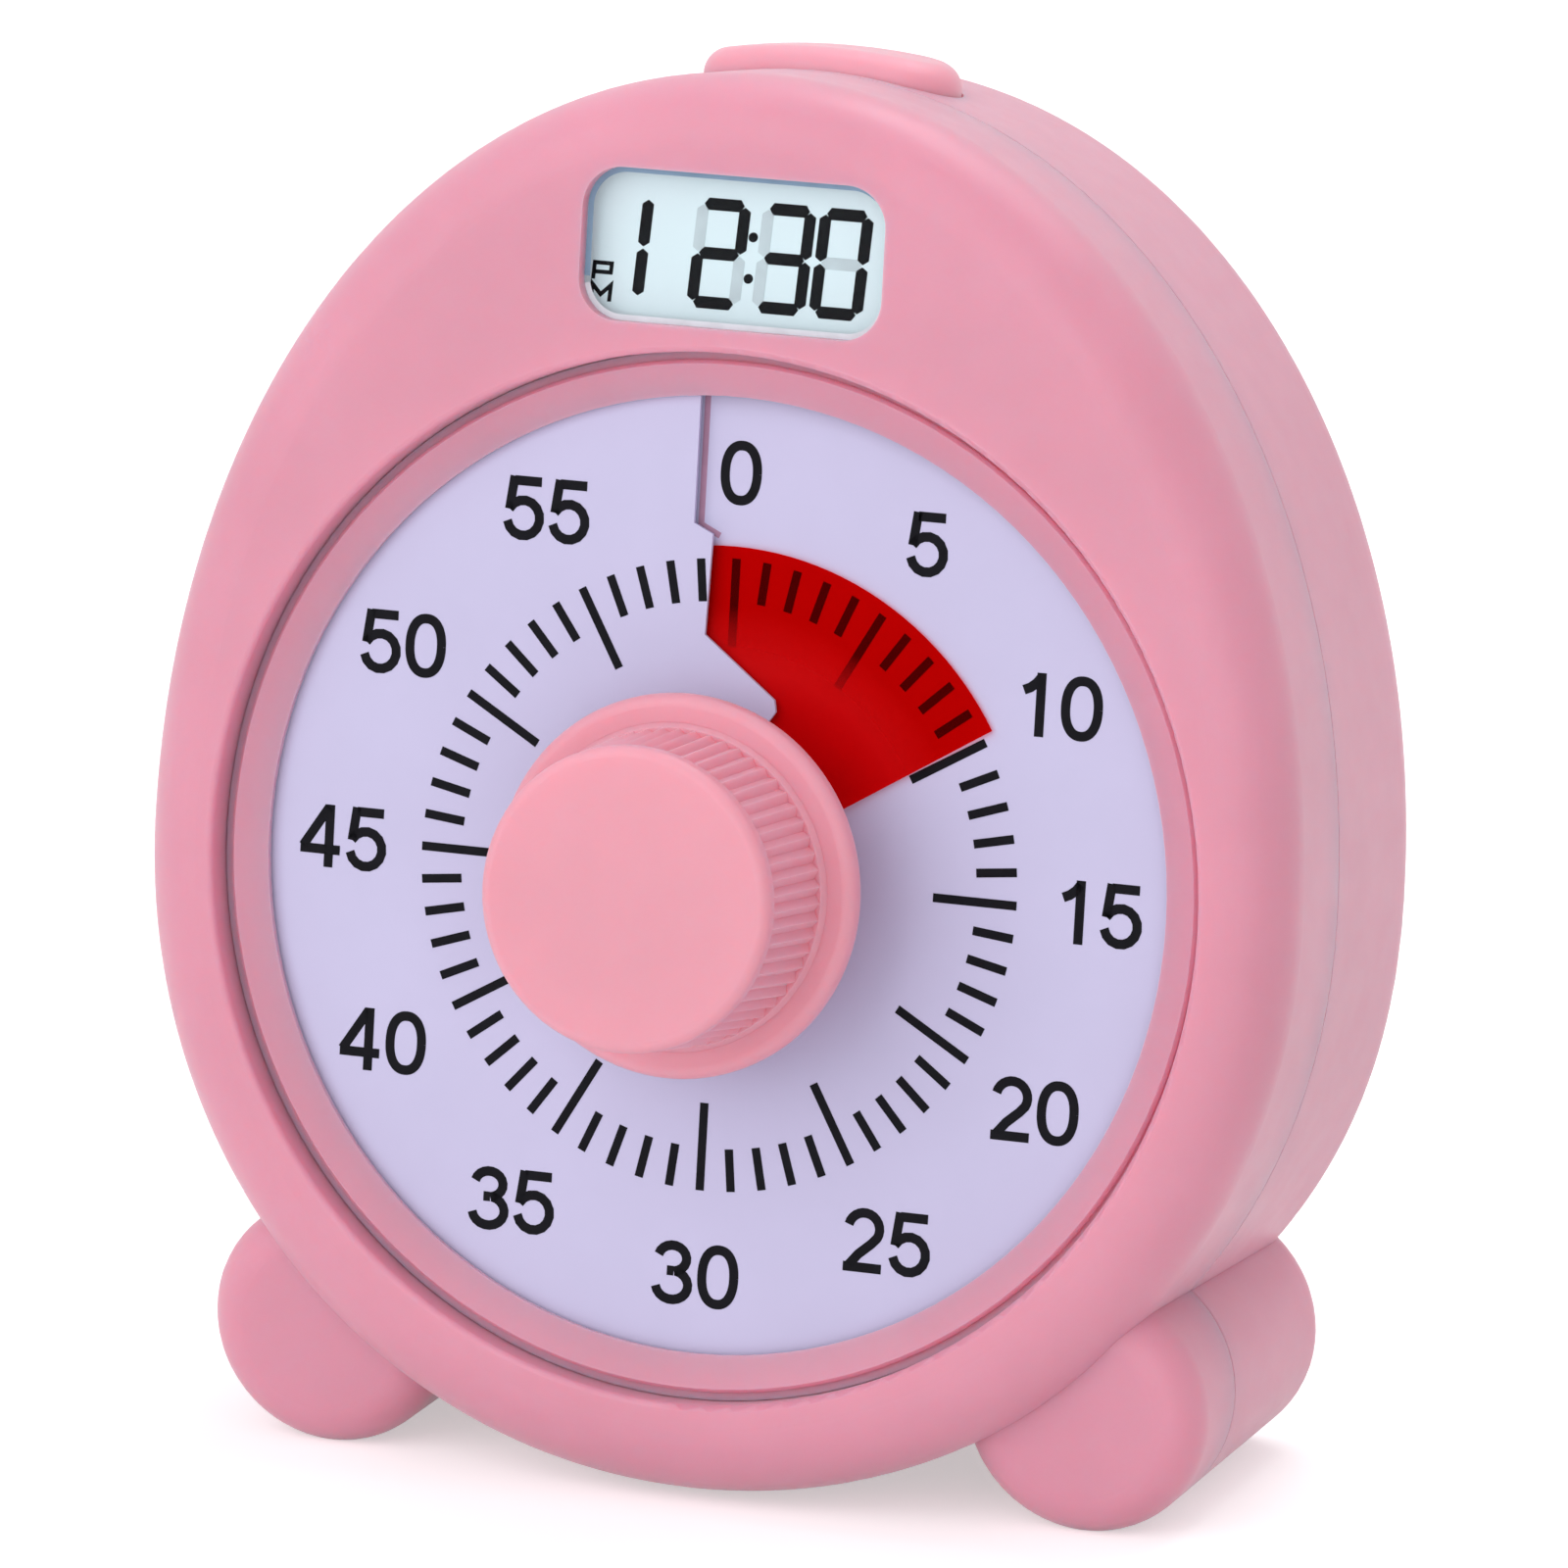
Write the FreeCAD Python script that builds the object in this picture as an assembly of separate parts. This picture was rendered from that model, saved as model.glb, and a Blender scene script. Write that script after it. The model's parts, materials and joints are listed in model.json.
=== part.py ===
import FreeCAD, Part
import math
import os
from FreeCAD import Placement, Rotation, Vector

# Visual countdown timer: an egg-shaped two-shell body on two round feet, with a liquid
# crystal display over a minute dial. A knob turns a red disc that comes out of a slit in
# the dial. Lengths are in millimetres.
# Everything is drawn square to the dial: X to the right, Y into the body, Z up the face,
# with the dial axis at x = z = 0. At the end the timer is leaned back onto its feet.

# Body shells: the egg outline is given at the face and at the back
FACE_Y = -4.0
BACK_Y = 29.0
SEAM_Y = 9.0
SEAM_GAP = 0.2
WALL = 2.0
FACE_ROUND = 5.0
BACK_ROUND = 5.0
FACE_HALF_WIDTH = 44.4
FACE_CROWN = 58.1
FACE_BELLY = 45.7
BACK_HALF_WIDTH = 44.0
BACK_CROWN = 57.6
BACK_BELLY = 40.7
CROWN_POWER = 2.04
FACE_BELLY_POWER = 2.0
BACK_BELLY_POWER = 2.2
QUARTER_STEPS = 6
LIP_DEPTH = 1.5
LIP_INSET = 1.0
LIP_CLEARANCE = 0.06
LIP_STEP = 0.1
LEAN = 8.5

# Feet: round bars that run level from front to back
FOOT_X = 29.5
FOOT_Z = -36.5
FOOT_RADIUS = 9.2
FOOT_FRONT_Y = 0.6
FOOT_LENGTH = 28.8
FOOT_ROUND = 3.0
FOOT_FLAT_DEPTH = 0.2

# Dial well, ring, dial plate and the screw-shaped path of the red disc
WELL_RADIUS = 38.1
WELL_EDGE_ROUND = 0.45
WELL_WALL = 1.1
FLOOR_THICKNESS = 1.8
RING_GAP = 0.7
RING_GROOVE_DEPTH = 0.7
RING_SEAT_CLEARANCE = 0.05
RING_LIP_RADIUS = 34.8
RING_LIP_THICKNESS = 0.5
RING_RISE = 0.9
RING_CREST = 0.25
RING_WALL = 0.85
DIAL_START_Y = 0.45
DIAL_THICKNESS = 0.3
DISC_THICKNESS = 0.2
DISC_GAP = 0.2
DISC_RADIUS = 23.9
DISC_EDGE_ANGLE = 58.7
DISC_SWEEP = 356.0
ZERO_STOP_ANGLE = -7.0
HIDDEN_CLEARANCE = 0.25
RIM_CLEARANCE = 0.1
DIAL_HOLE_RADIUS = 8.0
HELIX_STEP = 18.0
SLIT_LAP = 1.2
SLIT_OUTER_X = -3.1
SLIT_STEP_Z = 25.4
SLIT_INNER_X = -1.6
SLIT_TURN_Z = 17.4
FLAP_TIP_X = 4.0
FLAP_TIP_Z = 13.0
FLAP_UNDER_X = 1.0
FLAP_UNDER_Z = 9.0

# Knob, its spindle and the collar that carries the red disc
KNOB_FACE_Y = -18.4
KNOB_FACE_RADIUS = 11.0
KNOB_EDGE_ROUND = 0.8
KNOB_BAND = 1.5
KNURL_END_Y = -8.7
KNURL_BASE_RADIUS = 11.55
KNURL_COUNT = 60
KNURL_DEPTH = 0.38
FLANGE_RADIUS = 13.9
FLANGE_THICKNESS = 2.2
FLANGE_BACK_Y = -6.6
FLANGE_ROUND = 0.9
HUB_RADIUS = 5.6
HUB_END_Y = 1.5
SPINDLE_RADIUS = 3.0
SPINDLE_IN_KNOB = 7.0
SEAT_CLEARANCE = 0.02
RUNNING_CLEARANCE = 0.05
COLLAR_WALL = 1.1
COLLAR_LENGTH = 1.5
KEY_WIDTH = 2.0
KEY_HEIGHT = 0.6
KEY_CLEARANCE = 0.08

# Movement: case, cover and a two-stage wheel train down to the motor rotor
CASE_LEFT = -19.0
CASE_RIGHT = 19.0
CASE_TOP = 14.0
CASE_BOTTOM = -26.0
CASE_DEPTH = 8.0
CASE_WALL = 1.2
COVER_THICKNESS = 1.2
PRESSURE_ANGLE = 25.0
ADDENDUM = 0.8
DEDENDUM = 1.1
BACKLASH = 0.1
CENTRE_TEETH = 48
CENTRE_MODULE = 0.5
THIRD_PINION_TEETH = 10
THIRD_TEETH = 40
THIRD_MODULE = 0.4
ROTOR_PINION_TEETH = 10
THIRD_DIRECTION = -128.0
ROTOR_DIRECTION = -60.0
CENTRE_WHEEL_GAP = 0.3
CENTRE_WHEEL_THICKNESS = 1.2
CLUTCH_HUB_RADIUS = 4.5
CLUTCH_HUB_LENGTH = 2.0
CLUTCH_WASHER_THICKNESS = 0.6
WHEEL_STEP_GAP = 0.4
THIRD_WHEEL_THICKNESS = 1.0
THIRD_ARBOR_RADIUS = 0.6
ROTOR_ARBOR_RADIUS = 0.5
ARBOR_END_GAP = 0.2
MAGNET_RADIUS = 3.0
MAGNET_LENGTH = 2.6
STATOR_THICKNESS = 1.2
STATOR_AIR_GAP = 0.4
STATOR_HALF_HEIGHT = 4.4
STATOR_CORE_HALF_HEIGHT = 1.4
COIL_LENGTH = 9.0
COIL_RADIUS = 2.0
MOVEMENT_SCREW_INSET = 2.6
MOVEMENT_SCREW_RADIUS = 0.8
MOVEMENT_SCREW_HEAD = 1.6
MOVEMENT_SCREW_BITE = 1.2

# Display: window, lens, glass, holder, contact strip and main board
WINDOW_Z = 45.3
WINDOW_WIDTH = 23.3
WINDOW_HEIGHT = 11.1
WINDOW_CORNER = 3.0
WINDOW_FRAME_THICKNESS = 1.2
LENS_BORDER = 0.6
LENS_THICKNESS = 1.0
LENS_CLEARANCE = 0.1
GLASS_WIDTH = 27.0
GLASS_BOTTOM = 39.5
GLASS_TOP = 52.3
GLASS_THICKNESS = 1.1
GLASS_LEDGE = 1.4
GLASS_GAP = 0.1
HOLDER_WALL = 1.0
BOARD_Y = 6.0
BOARD_THICKNESS = 1.6
BOARD_HALF_WIDTH = 21.5
BOARD_BOTTOM = 22.5
BOARD_SHOULDER = 44.5
BOARD_TOP = 52.5
BOARD_TOP_HALF_WIDTH = 14.0
BOARD_POSTS = ((18.3, 27.0), (18.3, 43.2))
POST_RADIUS = 1.9
BOARD_SCREW_RADIUS = 0.9
BOARD_SCREW_HEAD = 1.8
BOARD_SCREW_LENGTH = 4.4
SCREW_HEAD_HEIGHT = 1.1
SCREW_CLEARANCE = 0.05

# Screws that close the two shells
SHELL_SCREWS = ((26.0, 36.0), (33.0, -12.0))
PILLAR_RADIUS = 3.4
SHELL_SCREW_RADIUS = 1.2
SHELL_SCREW_HEAD = 2.3
SHELL_SCREW_GRIP = 3.0
SHELL_SCREW_BITE = 5.0
COUNTERBORE_RADIUS = 2.7
SLOT_WIDTH = 0.6
SLOT_DEPTH = 0.5

# Top button and its switch
TOP_BUTTON_Y = 14.5
TOP_BUTTON_LENGTH = 19.6
TOP_BUTTON_DEPTH = 8.0
TOP_BUTTON_Z = 59.5
TOP_BUTTON_ROUND = 2.0
TOP_BUTTON_ARCH = 50.0
TOP_BUTTON_TRAVEL = 1.2
BUTTON_CLEARANCE = 0.15
TOP_FLANGE = 1.0
TOP_FLANGE_Z = 53.7
TOP_FLANGE_THICKNESS = 1.0
SWITCH_SIZE = 6.0
SWITCH_HEIGHT = 4.0
SWITCH_BORE_DEPTH = 2.2
STEM_RADIUS = 1.4
STEM_ENTRY = 0.4
STEM_CLEARANCE = 0.1
PRESS_MARGIN = 0.5
SHELF_THICKNESS = 1.2
SHELF_HALF_WIDTH = 5.0

# Key board behind the back wall: three setting buttons and the volume slider
KEY_ROW_Z = 31.0
KEY_PITCH = 12.0
KEY_RADIUS = 2.9
KEY_PROUD = 0.8
KEY_TRAVEL = 0.8
KEY_FLANGE = 0.8
KEY_FLANGE_THICKNESS = 0.8
KEY_FLANGE_GAP = 0.1
KEY_EDGE_ROUND = 0.5
SLIDER_X = 25.0
SLIDER_Z = 14.0
SLIDER_TRAVEL = 2.0
SLIDER_WIDTH = 3.0
SLIDER_LENGTH = 4.0
SLIDER_PROUD = 0.9
SLIDER_SKIRT = 1.2
SLIDER_SKIRT_THICKNESS = 0.8
SLIDER_SWITCH_HEIGHT = 3.6
KEY_BOARD_HALF_WIDTH = 17.0
KEY_BOARD_BOTTOM = 26.0
KEY_BOARD_TOP = 36.0
KEY_POST_X = 6.0
SLIDER_BOARD_HALF_WIDTH = 7.5
SLIDER_BOARD_HALF_HEIGHT = 7.0

# Sounder and its holes in the back
SOUNDER_Z = 8.0
SOUNDER_RADIUS = 10.0
SOUNDER_DEPTH = 3.2
SOUNDER_RIM = 1.0
SOUND_HOLE_RADIUS = 0.8
SOUND_HOLE_RING = 4.2
SOUND_HOLE_COUNT = 8

# Battery box, cells and door
CELL_RADIUS = 5.25
CELL_LENGTH = 43.5
CELL_TIP_RADIUS = 1.9
CELL_TIP_LENGTH = 1.0
CELL_GAP = 0.4
CELL_BACK_GAP = 1.0
CELLS_Z = -19.5
BOX_END_ROOM = 3.6
BOX_WALL = 1.2
CONTACT_THICKNESS = 0.4
CONTACT_WIDTH = 8.0
SPRING_TURNS = 4
SPRING_WIRE = 0.5
SPRING_SIDES = 6
SPRING_BASE_RADIUS = 3.4
SPRING_TIP_RADIUS = 2.2
DOOR_THICKNESS = 1.6
DOOR_GAP = 0.2
DOOR_LEDGE = 1.2
DOOR_CORNER = 2.0
DOOR_EDGE_ROUND = 0.5
TONGUE_X = 13.0
TONGUE_WIDTH = 4.0
TONGUE_REACH = 1.0
TONGUE_THICKNESS = 0.9
TONGUE_STANDOFF = 0.15
LATCH_WIDTH = 9.0
LATCH_SCOOP_RADIUS = 5.0
LATCH_SCOOP_DEPTH = 0.8
HINGE_CLEARANCE = 0.3

# Values that follow from the ones above
SIDES = (-1, 1)
REACH = 200.0
DIAL_PITCH = DIAL_THICKNESS + DISC_THICKNESS + 2.0 * DISC_GAP
DISC_OFFSET_Y = -DISC_GAP - DISC_THICKNESS
FLOOR_Y = DIAL_START_Y + DIAL_PITCH + HIDDEN_CLEARANCE
FLOOR_BACK_Y = FLOOR_Y + FLOOR_THICKNESS
DIAL_FRONT_Y = DIAL_START_Y - DIAL_PITCH
RING_RADIUS = WELL_RADIUS - RING_GAP
DIAL_RADIUS = RING_RADIUS - RING_WALL - RIM_CLEARANCE
CASE_Y = FLOOR_BACK_Y
CASE_BACK_Y = CASE_Y + CASE_DEPTH
COVER_BACK_Y = CASE_BACK_Y + COVER_THICKNESS
CENTRE_WHEEL_Y = CASE_Y + CASE_WALL + CENTRE_WHEEL_GAP
CENTRE_WHEEL_BACK_Y = CENTRE_WHEEL_Y + CENTRE_WHEEL_THICKNESS
THIRD_WHEEL_Y = CENTRE_WHEEL_BACK_Y + WHEEL_STEP_GAP
THIRD_WHEEL_BACK_Y = THIRD_WHEEL_Y + THIRD_WHEEL_THICKNESS
THIRD_DISTANCE = CENTRE_MODULE * (CENTRE_TEETH + THIRD_PINION_TEETH) / 2.0
ROTOR_DISTANCE = THIRD_MODULE * (THIRD_TEETH + ROTOR_PINION_TEETH) / 2.0
THIRD_X = THIRD_DISTANCE * math.cos(math.radians(THIRD_DIRECTION))
THIRD_Z = THIRD_DISTANCE * math.sin(math.radians(THIRD_DIRECTION))
ROTOR_X = THIRD_X + ROTOR_DISTANCE * math.cos(math.radians(ROTOR_DIRECTION))
ROTOR_Z = THIRD_Z + ROTOR_DISTANCE * math.sin(math.radians(ROTOR_DIRECTION))
INNER_BACK_Y = BACK_Y - WALL
ROOT_Y = INNER_BACK_Y + 0.1 * WALL
CELL_Y = INNER_BACK_Y - CELL_BACK_GAP - CELL_RADIUS
BOX_FRONT_Y = CELL_Y - CELL_RADIUS - CELL_GAP
BOX_HALF_WIDTH = CELL_LENGTH / 2.0 + BOX_END_ROOM
BOX_HALF_HEIGHT = 2.0 * CELL_RADIUS + 1.5 * CELL_GAP
BOX_TOP = CELLS_Z + BOX_HALF_HEIGHT
BOX_BOTTOM = CELLS_Z - BOX_HALF_HEIGHT
DOOR_HALF_WIDTH = BOX_HALF_WIDTH - DOOR_LEDGE
DOOR_TOP = BOX_TOP - DOOR_LEDGE
DOOR_BOTTOM = BOX_BOTTOM + DOOR_LEDGE


def block(x0, x1, y0, y1, z0, z1):
    """A box between two corners."""
    return Part.makeBox(x1 - x0, y1 - y0, z1 - z0, Vector(x0, y0, z0))


def rod(x, z, y0, y1, radius):
    """A round bar along Y."""
    return Part.makeCylinder(radius, y1 - y0, Vector(x, y0, z), Vector(0, 1, 0))


def tube(x, z, y0, y1, radius, bore):
    """A round bar along Y with a bore."""
    return rod(x, z, y0, y1, radius).cut(rod(x, z, y0, y1, bore))


def turned(profile):
    """A solid turned about the Y axis from (radius, y) corners."""
    corners = [Vector(radius, y, 0) for radius, y in profile]
    face = Part.Face(Part.makePolygon(corners + corners[:1]))
    return face.revolve(Vector(0, 0, 0), Vector(0, 1, 0), 360)


def prism(points, y0, y1):
    """A prism along Y from (x, z) corners."""
    corners = [Vector(x, y0, z) for x, z in points]
    face = Part.Face(Part.makePolygon(corners + corners[:1]))
    return face.extrude(Vector(0, y1 - y0, 0))


def rounded_block(x0, x1, y0, y1, z0, z1, radius):
    """A box whose four edges along Y are rounded."""
    body = block(x0, x1, y0, y1, z0, z1)
    edges = [edge for edge in body.Edges if edge.BoundBox.YLength > 0.5 * (y1 - y0)]
    return body.makeFillet(radius, edges)


def stadium(length, depth, y, z0, z1):
    """An upright bar with round ends, its length along X."""
    half = (length - depth) / 2.0
    middle = block(-half, half, y - depth / 2.0, y + depth / 2.0, z0, z1)
    ends = [Part.makeCylinder(depth / 2.0, z1 - z0, Vector(side * half, y, z0)) for side in SIDES]
    return middle.multiFuse(ends).removeSplitter()


def round_edges(body, radius, y, tolerance=0.01):
    """Round the edges that lie in one plane across Y."""
    edges = []
    for edge in body.Edges:
        bounds = edge.BoundBox
        if abs(bounds.YMin - y) < tolerance and abs(bounds.YMax - y) < tolerance:
            edges.append(edge)
    return body.makeFillet(radius, edges)


def joined(shapes):
    """One solid out of overlapping ones."""
    return shapes[0].multiFuse(shapes[1:]).removeSplitter()


def group(shapes):
    """Separate solids that share one node."""
    return Part.makeCompound(shapes)


def outline(y, inset):
    """The egg outline in one plane across Y: fuller than an ellipse, and drawn in by an inset."""
    share = (y - FACE_Y) / (BACK_Y - FACE_Y)
    half_width = FACE_HALF_WIDTH + (BACK_HALF_WIDTH - FACE_HALF_WIDTH) * share - inset
    crown = FACE_CROWN + (BACK_CROWN - FACE_CROWN) * share - inset
    belly = FACE_BELLY + (BACK_BELLY - FACE_BELLY) * share - inset
    belly_power = FACE_BELLY_POWER + (BACK_BELLY_POWER - FACE_BELLY_POWER) * share
    quarters = []
    for quarter in range(4):
        points = []
        for step in range(QUARTER_STEPS + 1):
            angle = math.pi / 2.0 * (quarter + step / QUARTER_STEPS)
            across = math.cos(angle)
            up = math.sin(angle)
            power = CROWN_POWER if quarter < 2 else belly_power
            height = crown if quarter < 2 else belly
            x = half_width * math.copysign(abs(across) ** (2.0 / power), across)
            z = height * math.copysign(abs(up) ** (2.0 / power), up)
            points.append(Vector(x, y, z))
        start = Rotation(Vector(0, -1, 0), 90.0 * quarter).multVec(Vector(0, 0, 1))
        end = Rotation(Vector(0, -1, 0), 90.0 * (quarter + 1)).multVec(Vector(0, 0, 1))
        curve = Part.BSplineCurve()
        curve.interpolate(Points=points, InitialTangent=start, FinalTangent=end, Scale=False)
        quarters.append(curve.toShape())
    return Part.Wire(quarters)


def egg(inset):
    """The egg body with its rounded edges, drawn in by an inset all round."""
    front = FACE_Y + inset
    back = BACK_Y - inset
    body = Part.makeLoft([outline(front, inset), outline(back, inset)], True, True)
    body = round_edges(body, FACE_ROUND - inset, front)
    return round_edges(body, BACK_ROUND - inset, back)


def foot(side, inset):
    """One round foot bar, level once the timer leans back."""
    level = Vector(0, math.cos(math.radians(LEAN)), math.sin(math.radians(LEAN)))
    start = Vector(side * FOOT_X, FOOT_FRONT_Y, FOOT_Z) + level * inset
    bar = Part.makeCylinder(FOOT_RADIUS - inset, FOOT_LENGTH - 2.0 * inset, start, level)
    rims = [edge for edge in bar.Edges if isinstance(edge.Curve, Part.Circle)]
    return bar.makeFillet(FOOT_ROUND - inset, rims)


def ground():
    """Everything below the flats that the feet stand on."""
    drop = -FOOT_RADIUS + FOOT_FLAT_DEPTH
    below = Part.makeBox(REACH, REACH, REACH, Vector(-REACH / 2.0, -REACH / 2.0, drop - REACH))
    below.Placement = Placement(Vector(0, FOOT_FRONT_Y, FOOT_Z), Rotation(Vector(1, 0, 0), LEAN))
    return below


def body_form(inset):
    """Egg and feet together, drawn in by an inset."""
    return egg(inset).multiFuse([foot(side, inset) for side in SIDES])


def band(inset, y0, y1):
    """The part of the inset body between two planes across Y, clear of its rounded edges."""
    middle = Part.makeLoft([outline(y0, inset), outline(y1, inset)], True, True)
    feet = [foot(side, inset).common(slab(y0, y1)) for side in SIDES]
    return middle.multiFuse(feet)


def slab(y0, y1):
    """All the space between two planes across Y."""
    return block(-REACH / 2.0, REACH / 2.0, y0, y1, -REACH / 2.0, REACH / 2.0)


def mirrored(places):
    """The same (x, z) places on both sides."""
    return [(side * x, z) for x, z in places for side in SIDES]


def shells():
    """Front and back shells as cast, with a lip of the back one inside the front one."""
    outer = body_form(0.0).cut(ground())
    inner = body_form(WALL)
    inner_skin = inner.Shells[0].copy()
    inner_skin.reverse()
    hollow = Part.makeSolid(Part.makeCompound([outer.Shells[0], inner_skin]))
    groove_y = SEAM_Y - LIP_DEPTH - SEAM_GAP
    lip_y = SEAM_Y - LIP_DEPTH
    root_y = SEAM_Y + SEAM_GAP + LIP_DEPTH
    groove = band(LIP_INSET, groove_y, SEAM_Y)
    lip_inner = band(WALL - LIP_STEP, lip_y, root_y)
    lip = band(LIP_INSET + LIP_CLEARANCE, lip_y, root_y).cut(lip_inner)
    front = hollow.common(slab(FACE_Y - REACH, SEAM_Y)).cut(groove)
    rear = hollow.common(slab(SEAM_Y + SEAM_GAP, BACK_Y + REACH)).fuse(lip)
    return front, rear


def well_cut():
    """The space of the dial well, with a rolled edge at the face."""
    over = FACE_Y - 2.0 * WALL
    rim = WELL_RADIUS + WELL_EDGE_ROUND
    roll = WELL_EDGE_ROUND * (1.0 - math.sqrt(0.5))
    corner = Vector(rim, FACE_Y, 0)
    inside = Vector(WELL_RADIUS, FACE_Y + WELL_EDGE_ROUND, 0)
    bend = Part.Arc(corner, Vector(WELL_RADIUS + roll, FACE_Y + roll, 0), inside).toShape()
    lines = [
        Part.makeLine(Vector(0, FLOOR_Y, 0), Vector(0, over, 0)),
        Part.makeLine(Vector(0, over, 0), Vector(rim, over, 0)),
        Part.makeLine(Vector(rim, over, 0), corner),
        bend,
        Part.makeLine(inside, Vector(WELL_RADIUS, FLOOR_Y, 0)),
        Part.makeLine(Vector(WELL_RADIUS, FLOOR_Y, 0), Vector(0, FLOOR_Y, 0)),
    ]
    return Part.Face(Part.Wire(lines)).revolve(Vector(0, 0, 0), Vector(0, 1, 0), 360)


def movement_screw_places():
    """Three corners of the movement case."""
    left = CASE_LEFT + MOVEMENT_SCREW_INSET
    right = CASE_RIGHT - MOVEMENT_SCREW_INSET
    top = CASE_TOP - MOVEMENT_SCREW_INSET
    bottom = CASE_BOTTOM + MOVEMENT_SCREW_INSET
    return [(left, top), (right, top), (right, bottom)]


def window_block(border, y0, y1, corner):
    """The display window's rounded outline with a border round it."""
    half_width = WINDOW_WIDTH / 2.0 + border
    half_height = WINDOW_HEIGHT / 2.0 + border
    return rounded_block(-half_width, half_width, y0, y1, WINDOW_Z - half_height,
                         WINDOW_Z + half_height, corner)


def front_housing(shell):
    """Front shell with the dial well, display window, posts and screw bosses."""
    wall_radius = WELL_RADIUS + WELL_WALL
    well = rod(0, 0, FACE_Y + WALL / 2.0, FLOOR_BACK_Y, wall_radius)
    posts = []
    for x, z in mirrored(BOARD_POSTS):
        posts.append(rod(x, z, FACE_Y + WALL / 2.0, BOARD_Y, POST_RADIUS))
    for x, z in mirrored(SHELL_SCREWS):
        posts.append(rod(x, z, FACE_Y + WALL / 2.0, SEAM_Y, PILLAR_RADIUS))
    body = shell.multiFuse([well] + posts)
    cuts = [well_cut(), rod(0, 0, 0, FLOOR_BACK_Y, DIAL_HOLE_RADIUS)]
    cuts.append(window_block(0.0, FACE_Y - WALL, FACE_Y + 2.0 * WALL, WINDOW_CORNER))
    seat_y = FACE_Y + WINDOW_FRAME_THICKNESS
    border = LENS_BORDER + LENS_CLEARANCE
    cuts.append(window_block(border, seat_y, FACE_Y + 2.0 * WALL, WINDOW_CORNER))
    for x, z in mirrored(BOARD_POSTS):
        depth = BOARD_SCREW_LENGTH - BOARD_THICKNESS + SCREW_CLEARANCE
        cuts.append(rod(x, z, BOARD_Y - depth, BOARD_Y, BOARD_SCREW_RADIUS + SCREW_CLEARANCE))
    for x, z in mirrored(SHELL_SCREWS):
        depth = SHELL_SCREW_BITE + SCREW_CLEARANCE
        cuts.append(rod(x, z, SEAM_Y - depth, SEAM_Y, SHELL_SCREW_RADIUS + SCREW_CLEARANCE))
    for x, z in movement_screw_places():
        bite = MOVEMENT_SCREW_BITE + SCREW_CLEARANCE
        cuts.append(rod(x, z, FLOOR_BACK_Y - bite, FLOOR_BACK_Y,
                        MOVEMENT_SCREW_RADIUS + SCREW_CLEARANCE))
    return body.cut(cuts)


def door_opening():
    """The battery door's hole through the back wall."""
    return rounded_block(-DOOR_HALF_WIDTH, DOOR_HALF_WIDTH, INNER_BACK_Y - WALL, BACK_Y + WALL,
                         DOOR_BOTTOM, DOOR_TOP, DOOR_CORNER)


def key_places():
    """The three setting buttons in a row."""
    return [(-KEY_PITCH, KEY_ROW_Z), (0.0, KEY_ROW_Z), (KEY_PITCH, KEY_ROW_Z)]


def sound_hole_places():
    """A hole in the middle and a ring round it."""
    places = [(0.0, SOUNDER_Z)]
    for step in range(SOUND_HOLE_COUNT):
        angle = 2.0 * math.pi * step / SOUND_HOLE_COUNT
        places.append((SOUND_HOLE_RING * math.cos(angle),
                       SOUNDER_Z + SOUND_HOLE_RING * math.sin(angle)))
    return places


def key_levels():
    """Y levels of the key stack: flange back, flange front, switch top, board back."""
    flange_back = INNER_BACK_Y - KEY_FLANGE_GAP
    flange_front = flange_back - KEY_FLANGE_THICKNESS
    switch_top = flange_front - KEY_TRAVEL - PRESS_MARGIN
    board_back = switch_top - SWITCH_HEIGHT
    return flange_back, flange_front, switch_top, board_back


def slider_levels():
    """Y levels of the slider stack: skirt back, skirt front, board back."""
    skirt_back = INNER_BACK_Y - KEY_FLANGE_GAP
    skirt_front = skirt_back - SLIDER_SKIRT_THICKNESS
    board_back = skirt_front - KEY_FLANGE_GAP - SLIDER_SWITCH_HEIGHT
    return skirt_back, skirt_front, board_back


def key_post_places():
    """Posts between the setting buttons."""
    return [(side * KEY_POST_X, KEY_ROW_Z) for side in SIDES]


def slider_post_places():
    """Posts at both ends of the slider's board."""
    reach = SLIDER_BOARD_HALF_WIDTH - POST_RADIUS
    return [(SLIDER_X + side * reach, SLIDER_Z + SLIDER_BOARD_HALF_HEIGHT - POST_RADIUS)
            for side in SIDES]


def shelf_top():
    """Height of the shelf under the top switch."""
    flange_bottom = TOP_FLANGE_Z - TOP_FLANGE_THICKNESS
    return flange_bottom - TOP_BUTTON_TRAVEL - PRESS_MARGIN - SWITCH_HEIGHT


def battery_box():
    """Block that the battery box is hollowed out of."""
    return block(-BOX_HALF_WIDTH - BOX_WALL, BOX_HALF_WIDTH + BOX_WALL, BOX_FRONT_Y - BOX_WALL,
                 ROOT_Y, BOX_BOTTOM - BOX_WALL, BOX_TOP + BOX_WALL)


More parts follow.
